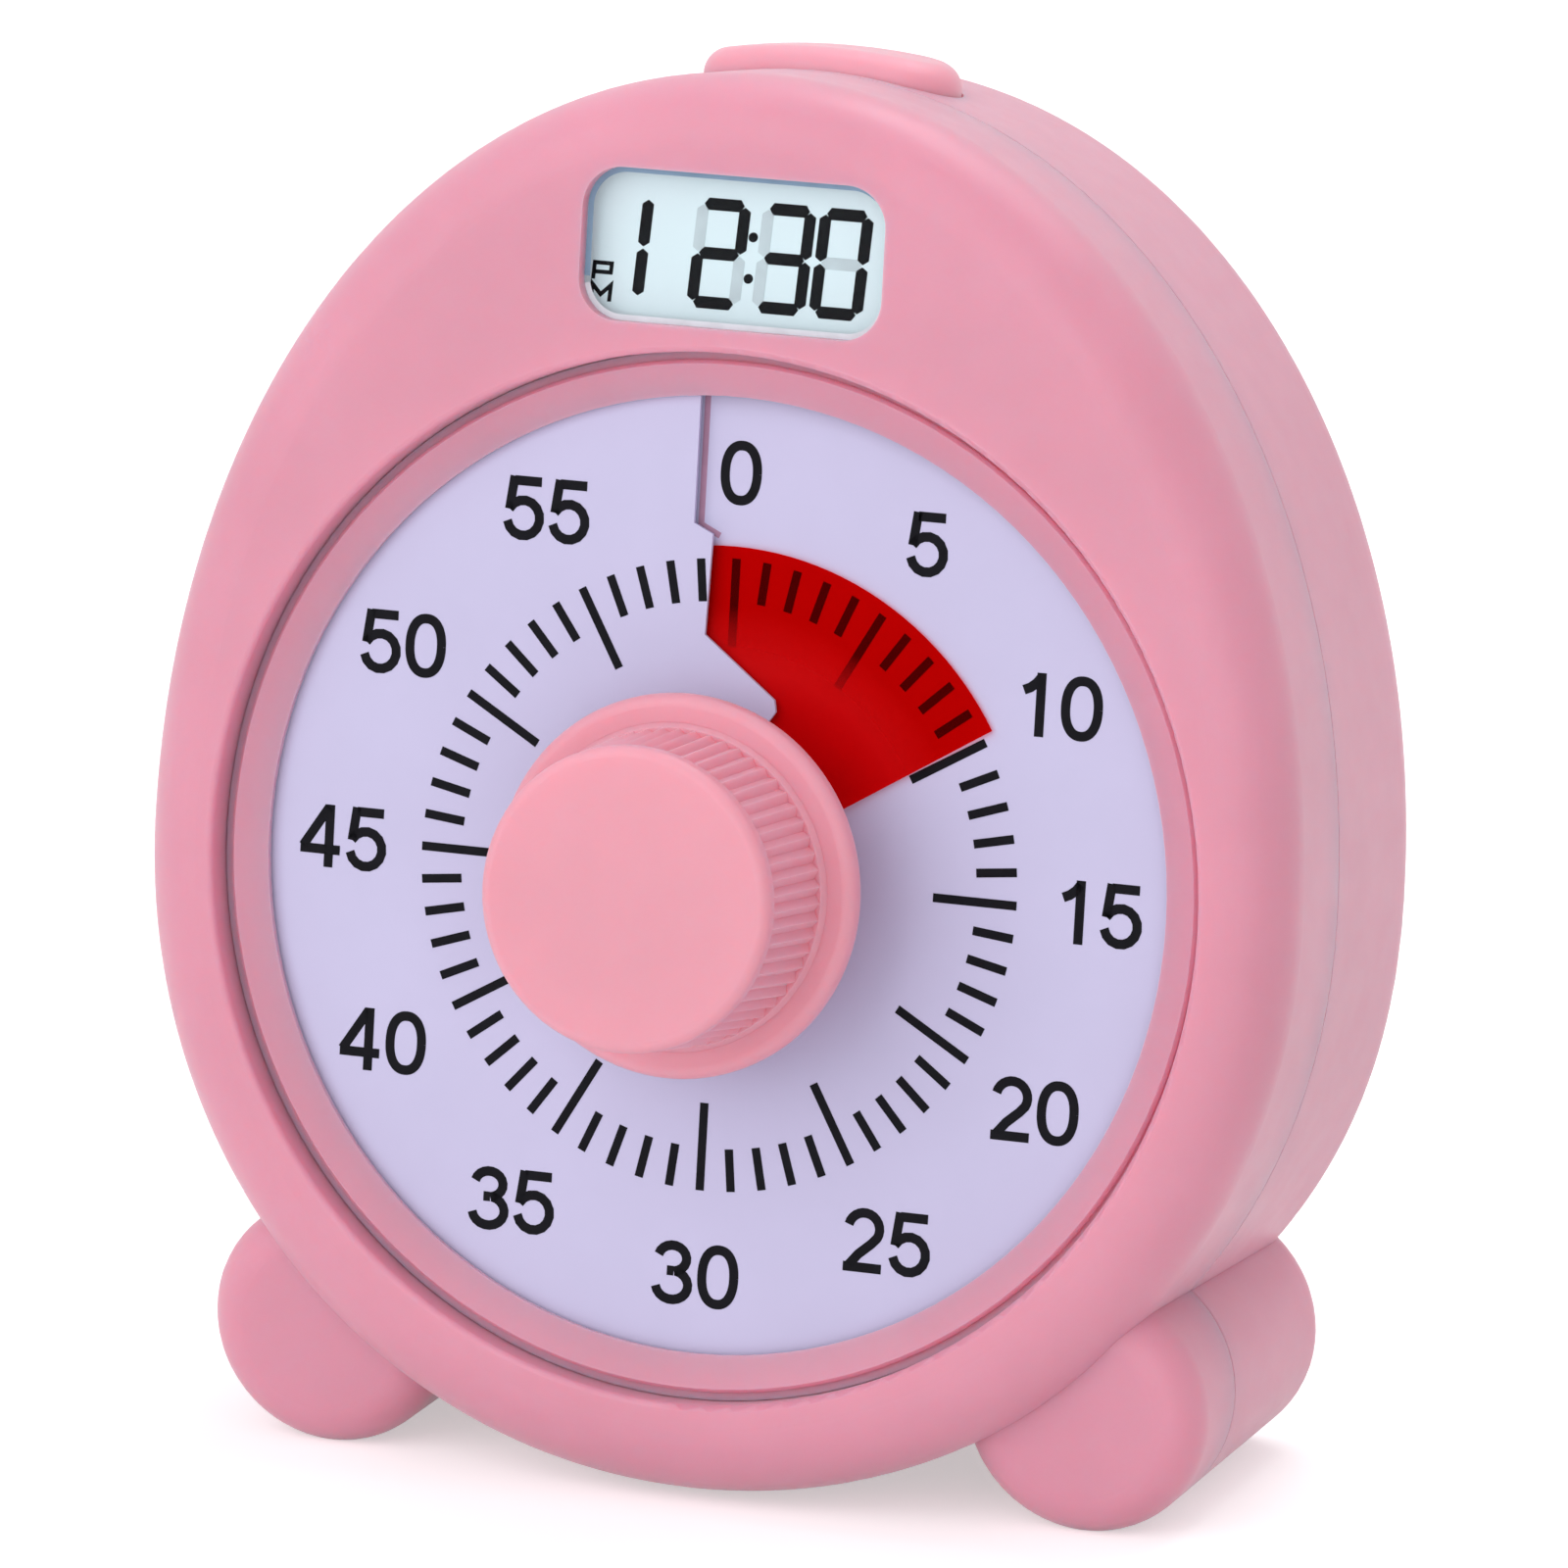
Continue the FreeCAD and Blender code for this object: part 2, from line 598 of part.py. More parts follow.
def rear_housing(shell):
    """Back shell with pillars, battery box, switch shelf, posts and the holes for the keys."""
    added = [battery_box()]
    for x, z in mirrored(SHELL_SCREWS):
        added.append(rod(x, z, SEAM_Y + SEAM_GAP, ROOT_Y, PILLAR_RADIUS))
    board_back = key_levels()[3]
    for x, z in key_post_places():
        added.append(rod(x, z, board_back, ROOT_Y, POST_RADIUS))
    slider_board_back = slider_levels()[2]
    for x, z in slider_post_places():
        added.append(rod(x, z, slider_board_back, ROOT_Y, POST_RADIUS))
    added.append(tube(0, SOUNDER_Z, INNER_BACK_Y - SOUNDER_DEPTH, ROOT_Y,
                      SOUNDER_RADIUS + RUNNING_CLEARANCE + SOUNDER_RIM,
                      SOUNDER_RADIUS + RUNNING_CLEARANCE))
    shelf = shelf_top()
    added.append(block(-SHELF_HALF_WIDTH, SHELF_HALF_WIDTH, TOP_BUTTON_Y - SWITCH_SIZE / 2.0 - 1.0,
                       ROOT_Y, shelf - SHELF_THICKNESS, shelf))
    body = shell.multiFuse(added)
    cuts = [door_opening()]
    cuts.append(block(-BOX_HALF_WIDTH, BOX_HALF_WIDTH, BOX_FRONT_Y, INNER_BACK_Y, BOX_BOTTOM,
                      BOX_TOP))
    head_y = SEAM_Y + SEAM_GAP + SHELL_SCREW_GRIP
    for x, z in mirrored(SHELL_SCREWS):
        cuts.append(rod(x, z, SEAM_Y, head_y + WALL, SHELL_SCREW_RADIUS + SCREW_CLEARANCE))
        cuts.append(rod(x, z, head_y, BACK_Y + WALL, COUNTERBORE_RADIUS))
    for x, z in key_places():
        cuts.append(rod(x, z, INNER_BACK_Y - WALL, BACK_Y + WALL, KEY_RADIUS + BUTTON_CLEARANCE))
    for x, z in sound_hole_places():
        cuts.append(rod(x, z, INNER_BACK_Y - WALL, BACK_Y + WALL, SOUND_HOLE_RADIUS))
    half = SLIDER_TRAVEL + SLIDER_LENGTH / 2.0 + BUTTON_CLEARANCE
    rise = SLIDER_WIDTH / 2.0 + BUTTON_CLEARANCE
    cuts.append(block(SLIDER_X - half, SLIDER_X + half, INNER_BACK_Y - 0.5, BACK_Y + WALL,
                      SLIDER_Z - rise, SLIDER_Z + rise))
    screw_radius = BOARD_SCREW_RADIUS + SCREW_CLEARANCE
    depth = BOARD_SCREW_LENGTH - BOARD_THICKNESS + SCREW_CLEARANCE
    for x, z in key_post_places():
        cuts.append(rod(x, z, board_back, board_back + depth, screw_radius))
    for x, z in slider_post_places():
        cuts.append(rod(x, z, slider_board_back, slider_board_back + depth, screw_radius))
    top_hole = stadium(TOP_BUTTON_LENGTH + 2.0 * BUTTON_CLEARANCE,
                       TOP_BUTTON_DEPTH + 2.0 * BUTTON_CLEARANCE, TOP_BUTTON_Y,
                       TOP_FLANGE_Z, BACK_CROWN + 2.0 * WALL)
    cuts.append(top_hole)
    return body.cut(cuts)


def dial_ring():
    """Ring that clamps the rim of the dial, with a sloping face."""
    lip_back = DIAL_FRONT_Y - RIM_CLEARANCE
    lip_front = lip_back - RING_LIP_THICKNESS
    bore = DIAL_RADIUS + RIM_CLEARANCE
    crest = lip_front - RING_RISE
    skirt = WELL_RADIUS - RING_SEAT_CLEARANCE
    return turned([
        (RING_LIP_RADIUS, lip_back),
        (RING_LIP_RADIUS, lip_front),
        (RING_RADIUS - RING_CREST, crest),
        (RING_RADIUS, crest + RING_CREST),
        (RING_RADIUS, crest + RING_GROOVE_DEPTH),
        (skirt, crest + RING_GROOVE_DEPTH),
        (skirt, FLOOR_Y),
        (bore, FLOOR_Y),
        (bore, lip_back),
    ])


def helix_edge(radius, start, end, start_y):
    """A screw line that comes forward as it goes clockwise, angles from twelve o'clock."""
    points = []
    steps = int(math.ceil((end - start) / HELIX_STEP))
    for step in range(steps + 1):
        turn = start + (end - start) * step / steps
        angle = math.radians(turn)
        points.append(Vector(radius * math.sin(angle), start_y - DIAL_PITCH * turn / 360.0,
                             radius * math.cos(angle)))
    curve = Part.BSplineCurve()
    curve.interpolate(Points=points)
    return curve.toShape()


def screw_sheet(inner, outer, start, end, start_y, thickness):
    """A thin sheet shaped as one turn of a screw."""
    face = Part.makeRuledSurface(helix_edge(inner, start, end, start_y),
                                 helix_edge(outer, start, end, start_y))
    sheet = face.extrude(Vector(0, thickness, 0))
    if sheet.Volume < 0:
        sheet.reverse()
    return sheet


def slit_path(shift):
    """The dial's slit from the rim to the hole, moved sideways by a shift."""
    return [
        (SLIT_OUTER_X + shift, REACH),
        (SLIT_OUTER_X + shift, SLIT_STEP_Z),
        (SLIT_INNER_X + shift, SLIT_STEP_Z - 0.7),
        (SLIT_INNER_X + shift - 0.2, SLIT_TURN_Z),
        (FLAP_TIP_X + shift - 0.15, FLAP_TIP_Z + 0.15),
        (FLAP_TIP_X + shift, FLAP_TIP_Z - 0.7),
        (FLAP_TIP_X + shift - 0.4, FLAP_TIP_Z - 1.3),
        (FLAP_UNDER_X + shift, FLAP_UNDER_Z),
        (FLAP_UNDER_X + shift, 0.0),
    ]


def dial_plate():
    """Printed dial: a one-turn screw sheet whose ends overlap at the slit."""
    overlap = 25.0
    sheet = screw_sheet(DIAL_HOLE_RADIUS, DIAL_RADIUS, -overlap, 360.0 + overlap, DIAL_START_Y,
                        DIAL_THICKNESS)
    split_y = DIAL_START_Y - DIAL_PITCH / 2.0 + DIAL_THICKNESS / 2.0
    right = slit_path(0.0) + [(REACH, 0.0), (REACH, REACH)]
    left = slit_path(-SLIT_LAP) + [(-REACH, 0.0), (-REACH, REACH)]
    upper = prism(right, FACE_Y, split_y)
    lower = prism(left, split_y, BACK_Y)
    return sheet.cut([near_slit(upper), near_slit(lower)])


def near_slit(tool):
    """Keep a cutting tool to the angles about the slit."""
    width = DIAL_RADIUS * 0.6
    return tool.common(block(-width, width, FACE_Y, BACK_Y, 0.0, DIAL_RADIUS + WALL))


def disc_levels():
    """Y range of the red disc's collar at rest."""
    edge_y = DIAL_START_Y + DISC_OFFSET_Y - DIAL_PITCH * DISC_EDGE_ANGLE / 360.0
    tail_y = edge_y + DIAL_PITCH * DISC_SWEEP / 360.0 + DISC_THICKNESS
    middle = (edge_y + tail_y) / 2.0
    return middle - COLLAR_LENGTH / 2.0, middle + COLLAR_LENGTH / 2.0


def keys(clearance, y0, y1):
    """Two keys on the knob's hub, or their slots in the collar."""
    half = KEY_WIDTH / 2.0 + clearance
    reach = HUB_RADIUS + KEY_HEIGHT + clearance
    return block(-reach, reach, y0, y1, -half, half)


def red_disc():
    """Red screw-shaped disc on a collar that slides along the hub's keys."""
    bore = HUB_RADIUS + RUNNING_CLEARANCE
    radius = bore + COLLAR_WALL
    front, back = disc_levels()
    start = DISC_EDGE_ANGLE - DISC_SWEEP
    sheet = screw_sheet(radius - 0.4, DISC_RADIUS, start, DISC_EDGE_ANGLE,
                        DIAL_START_Y + DISC_OFFSET_Y, DISC_THICKNESS)
    collar = tube(0, 0, front, back, radius, bore)
    return sheet.fuse(collar).cut(keys(KEY_CLEARANCE, front - 1.0, back + 1.0))


def knurl():
    """The fluted grip: two star outlines, the rear one larger."""
    wires = []
    start_y = KNOB_FACE_Y + KNOB_BAND
    for y, radius in ((start_y, KNOB_FACE_RADIUS), (KNURL_END_Y, KNURL_BASE_RADIUS)):
        corners = []
        for step in range(2 * KNURL_COUNT):
            angle = math.pi * step / KNURL_COUNT
            reach = radius if step % 2 == 0 else radius - KNURL_DEPTH
            corners.append(Vector(reach * math.cos(angle), y, reach * math.sin(angle)))
        wires.append(Part.makePolygon(corners + corners[:1]))
    return Part.makeLoft(wires, True, True)


def knob():
    """Knob: smooth cap, fluted grip, flange and a keyed hub."""
    flange_y = FLANGE_BACK_Y - FLANGE_THICKNESS
    core = KNOB_FACE_RADIUS - KNURL_DEPTH - 0.3
    cap = rod(0, 0, KNOB_FACE_Y, KNOB_FACE_Y + KNOB_BAND, KNOB_FACE_RADIUS)
    cap = round_edges(cap, KNOB_EDGE_ROUND, KNOB_FACE_Y)
    flange = rod(0, 0, flange_y, FLANGE_BACK_Y, FLANGE_RADIUS)
    flange = round_edges(flange, FLANGE_ROUND, flange_y)
    flange = round_edges(flange, FLANGE_ROUND, FLANGE_BACK_Y)
    shoulder = turned([(0, KNURL_END_Y - 0.5), (KNURL_BASE_RADIUS, KNURL_END_Y - 0.5),
                       (KNURL_BASE_RADIUS + 0.6, flange_y + 0.3), (0, flange_y + 0.3)])
    middle = rod(0, 0, KNOB_FACE_Y + KNOB_BAND / 2.0, HUB_END_Y, HUB_RADIUS)
    grip = rod(0, 0, KNOB_FACE_Y + KNOB_BAND / 2.0, FLANGE_BACK_Y - 0.5, core)
    ribs = keys(0.0, FLANGE_BACK_Y - 0.5, HUB_END_Y)
    body = joined([cap, grip, knurl(), shoulder, flange, middle, ribs])
    bore = rod(0, 0, FLANGE_BACK_Y - SPINDLE_IN_KNOB, HUB_END_Y, SPINDLE_RADIUS + SEAT_CLEARANCE)
    return body.cut(bore)


def spindle():
    """Spindle from the knob through the movement."""
    bar = rod(0, 0, FLANGE_BACK_Y - SPINDLE_IN_KNOB, COVER_BACK_Y - ARBOR_END_GAP, SPINDLE_RADIUS)
    return round_edges(bar, 0.4, COVER_BACK_Y - ARBOR_END_GAP)


def involute(angle):
    """The involute of an angle in radians."""
    return math.tan(angle) - angle


def gear(teeth, module, tooth_angle, y0, y1, x, z, bore):
    """A spur gear with involute teeth, one of them centred on tooth_angle."""
    pitch_radius = module * teeth / 2.0
    base = pitch_radius * math.cos(math.radians(PRESSURE_ANGLE))
    tip = pitch_radius + ADDENDUM * module
    root = pitch_radius - DEDENDUM * module
    half_tooth = math.pi / (2.0 * teeth) - BACKLASH / (2.0 * pitch_radius)
    foot_radius = max(base, root)
    flank = []
    for share in (0.0, 0.5, 1.0):
        radius = foot_radius + (tip - foot_radius) * share
        lean = involute(math.radians(PRESSURE_ANGLE)) - involute(math.acos(base / radius))
        flank.append((radius, half_tooth + lean))
    if root < base:
        flank.insert(0, (root, flank[0][1]))
    outline = []
    for tooth in range(teeth):
        middle = math.radians(tooth_angle) + 2.0 * math.pi * tooth / teeth
        for radius, half in flank:
            outline.append((x + radius * math.cos(middle - half), z + radius * math.sin(middle - half)))
        for radius, half in reversed(flank):
            outline.append((x + radius * math.cos(middle + half), z + radius * math.sin(middle + half)))
    wheel = prism(outline, y0, y1)
    return wheel.cut(rod(x, z, y0, y1, bore)) if bore else wheel


def centre_wheel():
    """Wheel on the spindle, held by the clutch washer."""
    wheel = gear(CENTRE_TEETH, CENTRE_MODULE, THIRD_DIRECTION, CENTRE_WHEEL_Y,
                 CENTRE_WHEEL_BACK_Y, 0.0, 0.0, None)
    hub = rod(0, 0, CENTRE_WHEEL_Y, CENTRE_WHEEL_BACK_Y + CLUTCH_HUB_LENGTH, CLUTCH_HUB_RADIUS)
    bore = rod(0, 0, CASE_Y, CASE_BACK_Y, SPINDLE_RADIUS + SEAT_CLEARANCE)
    return wheel.fuse(hub).cut(bore)


def clutch_washer():
    """Spring washer that presses the centre wheel's hub."""
    front = CENTRE_WHEEL_BACK_Y + CLUTCH_HUB_LENGTH
    return tube(0, 0, front, front + CLUTCH_WASHER_THICKNESS, CLUTCH_HUB_RADIUS,
                SPINDLE_RADIUS + SEAT_CLEARANCE)


def third_wheel():
    """Pinion driven by the centre wheel and the wheel that the rotor drives."""
    pinion_angle = THIRD_DIRECTION + 180.0 + 180.0 / THIRD_PINION_TEETH
    pinion = gear(THIRD_PINION_TEETH, CENTRE_MODULE, pinion_angle, CENTRE_WHEEL_Y,
                  THIRD_WHEEL_Y + 0.1, THIRD_X, THIRD_Z, None)
    wheel = gear(THIRD_TEETH, THIRD_MODULE, ROTOR_DIRECTION, THIRD_WHEEL_Y, THIRD_WHEEL_BACK_Y,
                 THIRD_X, THIRD_Z, None)
    arbor = rod(THIRD_X, THIRD_Z, CASE_Y + ARBOR_END_GAP, COVER_BACK_Y - ARBOR_END_GAP,
                THIRD_ARBOR_RADIUS)
    return pinion.multiFuse([wheel, arbor])


def rotor():
    """Motor rotor: pinion, arbor and round magnet."""
    pinion_angle = ROTOR_DIRECTION + 180.0 + 180.0 / ROTOR_PINION_TEETH
    magnet_y = THIRD_WHEEL_BACK_Y + WHEEL_STEP_GAP
    pinion = gear(ROTOR_PINION_TEETH, THIRD_MODULE, pinion_angle, THIRD_WHEEL_Y - 0.2,
                  magnet_y + 0.1, ROTOR_X, ROTOR_Z, None)
    magnet = rod(ROTOR_X, ROTOR_Z, magnet_y, magnet_y + MAGNET_LENGTH, MAGNET_RADIUS)
    arbor = rod(ROTOR_X, ROTOR_Z, CASE_Y + ARBOR_END_GAP, COVER_BACK_Y - ARBOR_END_GAP,
                ROTOR_ARBOR_RADIUS)
    return pinion.multiFuse([magnet, arbor])


def stator_levels():
    """Front and back of the stator plate, level with the magnet's middle."""
    middle = THIRD_WHEEL_BACK_Y + WHEEL_STEP_GAP + MAGNET_LENGTH / 2.0
    return middle - STATOR_THICKNESS / 2.0, middle + STATOR_THICKNESS / 2.0


def coil_start():
    """X where the coil begins beside the rotor."""
    return ROTOR_X + MAGNET_RADIUS + STATOR_AIR_GAP + 1.6


def stator():
    """Stator plate round the magnet, with a core bar through the coil."""
    front, back = stator_levels()
    bore = MAGNET_RADIUS + STATOR_AIR_GAP
    plate = block(ROTOR_X - bore - 1.6, coil_start(), front, back, ROTOR_Z - STATOR_HALF_HEIGHT,
                  ROTOR_Z + STATOR_HALF_HEIGHT)
    core = block(coil_start() - 0.1, coil_start() + COIL_LENGTH + 2.0, front, back,
                 ROTOR_Z - STATOR_CORE_HALF_HEIGHT, ROTOR_Z + STATOR_CORE_HALF_HEIGHT)
    legs = []
    for x in (ROTOR_X - bore - 0.8, coil_start() + COIL_LENGTH + 1.0):
        legs.append(rod(x, ROTOR_Z, back - 0.1, CASE_BACK_Y, 0.7))
    return joined([plate, core] + legs).cut(rod(ROTOR_X, ROTOR_Z, front, back, bore))


def motor_coil():
    """Coil round the stator's core bar."""
    front, back = stator_levels()
    start = Vector(coil_start(), (front + back) / 2.0, ROTOR_Z)
    winding = Part.makeCylinder(COIL_RADIUS, COIL_LENGTH, start, Vector(1, 0, 0))
    gap = SEAT_CLEARANCE
    core = block(start.x - 1.0, start.x + COIL_LENGTH + 1.0, front - gap, back + gap,
                 ROTOR_Z - STATOR_CORE_HALF_HEIGHT - gap, ROTOR_Z + STATOR_CORE_HALF_HEIGHT + gap)
    return winding.cut(core)


def movement_case():
    """Tray that holds the wheel train, with front bearings."""
    outer = rounded_block(CASE_LEFT, CASE_RIGHT, CASE_Y, CASE_BACK_Y, CASE_BOTTOM, CASE_TOP, 1.5)
    room = block(CASE_LEFT + CASE_WALL, CASE_RIGHT - CASE_WALL, CASE_Y + CASE_WALL, CASE_BACK_Y,
                 CASE_BOTTOM + CASE_WALL, CASE_TOP - CASE_WALL)
    body = outer.cut(room)
    places = movement_screw_places()
    body = body.multiFuse([rod(x, z, CASE_Y, CASE_BACK_Y, MOVEMENT_SCREW_HEAD) for x, z in places])
    cuts = [rod(x, z, CASE_Y, CASE_BACK_Y, MOVEMENT_SCREW_RADIUS + SCREW_CLEARANCE)
            for x, z in places]
    cuts.append(rod(0, 0, CASE_Y, CASE_BACK_Y, SPINDLE_RADIUS + RUNNING_CLEARANCE))
    cuts.append(rod(THIRD_X, THIRD_Z, CASE_Y, CASE_BACK_Y, THIRD_ARBOR_RADIUS + RUNNING_CLEARANCE))
    cuts.append(rod(ROTOR_X, ROTOR_Z, CASE_Y, CASE_BACK_Y, ROTOR_ARBOR_RADIUS + RUNNING_CLEARANCE))
    return body.cut(cuts)


def movement_cover():
    """Cover of the movement, with the back bearings."""
    plate = rounded_block(CASE_LEFT, CASE_RIGHT, CASE_BACK_Y, COVER_BACK_Y, CASE_BOTTOM, CASE_TOP,
                          1.5)
    cuts = [rod(x, z, CASE_BACK_Y, COVER_BACK_Y, MOVEMENT_SCREW_RADIUS + SCREW_CLEARANCE)
            for x, z in movement_screw_places()]
    cuts.append(rod(0, 0, CASE_Y, COVER_BACK_Y, SPINDLE_RADIUS + RUNNING_CLEARANCE))
    cuts.append(rod(THIRD_X, THIRD_Z, CASE_Y, COVER_BACK_Y, THIRD_ARBOR_RADIUS + RUNNING_CLEARANCE))
    cuts.append(rod(ROTOR_X, ROTOR_Z, CASE_Y, COVER_BACK_Y, ROTOR_ARBOR_RADIUS + RUNNING_CLEARANCE))
    return plate.cut(cuts)


def screw(x, z, seat_y, tip_y, radius, head_radius):
    """A slotted screw whose head lies behind seat_y or in front of it, away from the tip."""
    away = 1 if seat_y > tip_y else -1
    head_end = seat_y + away * SCREW_HEAD_HEIGHT
    shank = rod(x, z, min(seat_y, tip_y), max(seat_y, tip_y), radius)
    head = rod(x, z, min(seat_y, head_end), max(seat_y, head_end), head_radius)
    slot_start = head_end - away * SLOT_DEPTH
    slot = block(x - head_radius, x + head_radius, min(slot_start, head_end),
                 max(slot_start, head_end), z - SLOT_WIDTH / 2.0, z + SLOT_WIDTH / 2.0)
    return shank.fuse(head).cut(slot)


def movement_screws():
    """Three screws through cover and case into the dial floor."""
    return group([screw(x, z, COVER_BACK_Y, FLOOR_BACK_Y - MOVEMENT_SCREW_BITE,
                        MOVEMENT_SCREW_RADIUS, MOVEMENT_SCREW_HEAD)
                  for x, z in movement_screw_places()])


def lcd_lens():
    """Clear window pane seated behind the face."""
    seat_y = FACE_Y + WINDOW_FRAME_THICKNESS
    return window_block(LENS_BORDER, seat_y, seat_y + LENS_THICKNESS, WINDOW_CORNER)


def glass_y():
    """Front of the display glass."""
    return FACE_Y + WINDOW_FRAME_THICKNESS + LENS_THICKNESS + GLASS_GAP


def lcd_panel():
    """Display glass: a front sheet and a taller back sheet with the contact ledge."""
    half = GLASS_WIDTH / 2.0
    front = glass_y()
    middle = front + GLASS_THICKNESS
    upper = block(-half, half, front, middle, GLASS_BOTTOM, GLASS_TOP - GLASS_LEDGE)
    lower = block(-half, half, middle, middle + GLASS_THICKNESS, GLASS_BOTTOM, GLASS_TOP)
    return upper.fuse(lower)


def lcd_holder():
    """Frame between the display glass and the main board."""
    half = GLASS_WIDTH / 2.0
    front = glass_y() + 2.0 * GLASS_THICKNESS
    outer = block(-half, half, front, BOARD_Y, GLASS_BOTTOM, GLASS_TOP)
    inner = block(-half + HOLDER_WALL, half - HOLDER_WALL, front, BOARD_Y,
                  GLASS_BOTTOM + HOLDER_WALL, GLASS_TOP - HOLDER_WALL)
    return outer.cut(inner)


def zebra_strip():
    """Rubber contact strip from the glass ledge to the board."""
    half = GLASS_WIDTH / 2.0 - HOLDER_WALL - 0.3
    top = GLASS_TOP - HOLDER_WALL - 0.2
    return block(-half, half, glass_y() + 2.0 * GLASS_THICKNESS, BOARD_Y, top - 2.0, top)


def main_board():
    """Circuit board behind the display."""
    outline = [(-BOARD_HALF_WIDTH, BOARD_BOTTOM), (BOARD_HALF_WIDTH, BOARD_BOTTOM),
               (BOARD_HALF_WIDTH, BOARD_SHOULDER), (BOARD_TOP_HALF_WIDTH, BOARD_TOP),
               (-BOARD_TOP_HALF_WIDTH, BOARD_TOP), (-BOARD_HALF_WIDTH, BOARD_SHOULDER)]
    plate = prism(outline, BOARD_Y, BOARD_Y + BOARD_THICKNESS)
    holes = [rod(x, z, BOARD_Y, BOARD_Y + BOARD_THICKNESS, BOARD_SCREW_RADIUS + SCREW_CLEARANCE)
             for x, z in mirrored(BOARD_POSTS)]
    return plate.cut(holes)


def board_chip():
    """Sealed clock circuit on the back of the main board."""
    y = BOARD_Y + BOARD_THICKNESS
    return round_edges(rod(0, 34.0, y, y + 1.6, 5.0), 1.0, y + 1.6)


def board_screws():
    """Screws that hold the main board to its posts."""
    seat = BOARD_Y + BOARD_THICKNESS
    return group([screw(x, z, seat, seat - BOARD_SCREW_LENGTH, BOARD_SCREW_RADIUS,
                        BOARD_SCREW_HEAD) for x, z in mirrored(BOARD_POSTS)])


def top_button():
    """Button on the crown: a rounded bar with a flange and a stem into its switch."""
    cap = stadium(TOP_BUTTON_LENGTH, TOP_BUTTON_DEPTH, TOP_BUTTON_Y, TOP_FLANGE_Z, TOP_BUTTON_Z)
    arch = rod(0, TOP_BUTTON_Z - TOP_BUTTON_ARCH, 0.0, BACK_Y, TOP_BUTTON_ARCH)
    cap = cap.common(arch)
    rim_bottom = TOP_BUTTON_Z - TOP_BUTTON_ROUND
    rims = [edge for edge in cap.Edges if edge.BoundBox.ZMin > rim_bottom]
    cap = cap.makeFillet(TOP_BUTTON_ROUND, rims)
    flange_bottom = TOP_FLANGE_Z - TOP_FLANGE_THICKNESS
    flange = stadium(TOP_BUTTON_LENGTH + 2.0 * TOP_FLANGE, TOP_BUTTON_DEPTH + 2.0 * TOP_FLANGE,
                     TOP_BUTTON_Y, flange_bottom, TOP_FLANGE_Z)
    stem_end = shelf_top() + SWITCH_HEIGHT - STEM_ENTRY
    stem = Part.makeCylinder(STEM_RADIUS, TOP_FLANGE_Z - stem_end, Vector(0, TOP_BUTTON_Y, stem_end))
    return joined([cap, flange, stem])


def top_switch():
    """Push switch on the shelf under the top button."""
    half = SWITCH_SIZE / 2.0
    base = shelf_top()
    body = block(-half, half, TOP_BUTTON_Y - half, TOP_BUTTON_Y + half, base, base + SWITCH_HEIGHT)
    bore = Part.makeCylinder(STEM_RADIUS + STEM_CLEARANCE, SWITCH_BORE_DEPTH,
                             Vector(0, TOP_BUTTON_Y, base + SWITCH_HEIGHT - SWITCH_BORE_DEPTH))
    return body.cut(bore)


def setting_button(x, z):
    """One round button of the back, with a flange and a stem into its switch."""
    flange_back, flange_front, switch_top, board_back = key_levels()
    cap = rod(x, z, flange_front, BACK_Y + KEY_PROUD, KEY_RADIUS)
    cap = round_edges(cap, KEY_EDGE_ROUND, BACK_Y + KEY_PROUD)
    flange = rod(x, z, flange_front, flange_back, KEY_RADIUS + KEY_FLANGE)
    stem = rod(x, z, switch_top - STEM_ENTRY, flange_back, STEM_RADIUS)
    return joined([cap, flange, stem])


def setting_switches():
    """Push switches under the three setting buttons."""
    switch_top, board_back = key_levels()[2:]
    half = SWITCH_SIZE / 2.0
    bodies = []
    for x, z in key_places():
        body = block(x - half, x + half, board_back, switch_top, z - half, z + half)
        bodies.append(body.cut(rod(x, z, switch_top - SWITCH_BORE_DEPTH, switch_top,
                                   STEM_RADIUS + STEM_CLEARANCE)))
    return group(bodies)


def key_board():
    """Circuit board of the setting buttons."""
    back = key_levels()[3]
    plate = block(-KEY_BOARD_HALF_WIDTH, KEY_BOARD_HALF_WIDTH, back - BOARD_THICKNESS, back,
                  KEY_BOARD_BOTTOM, KEY_BOARD_TOP)
    holes = [rod(x, z, back - BOARD_THICKNESS, back, BOARD_SCREW_RADIUS + SCREW_CLEARANCE)
             for x, z in key_post_places()]
    return plate.cut(holes)


def slider_board():
    """Circuit board of the volume slider."""
    back = slider_levels()[2]
    plate = block(SLIDER_X - SLIDER_BOARD_HALF_WIDTH, SLIDER_X + SLIDER_BOARD_HALF_WIDTH,
                  back - BOARD_THICKNESS, back, SLIDER_Z - SLIDER_BOARD_HALF_HEIGHT,
                  SLIDER_Z + SLIDER_BOARD_HALF_HEIGHT)
    holes = [rod(x, z, back - BOARD_THICKNESS, back, BOARD_SCREW_RADIUS + SCREW_CLEARANCE)
             for x, z in slider_post_places()]
    return plate.cut(holes)


def key_screws():
    """Screws of the two boards at the back."""
    screws = []
    for places, back in ((key_post_places(), key_levels()[3]),
                         (slider_post_places(), slider_levels()[2])):
        seat = back - BOARD_THICKNESS
        for x, z in places:
            screws.append(screw(x, z, seat, seat + BOARD_SCREW_LENGTH, BOARD_SCREW_RADIUS,
                                BOARD_SCREW_HEAD))
    return group(screws)


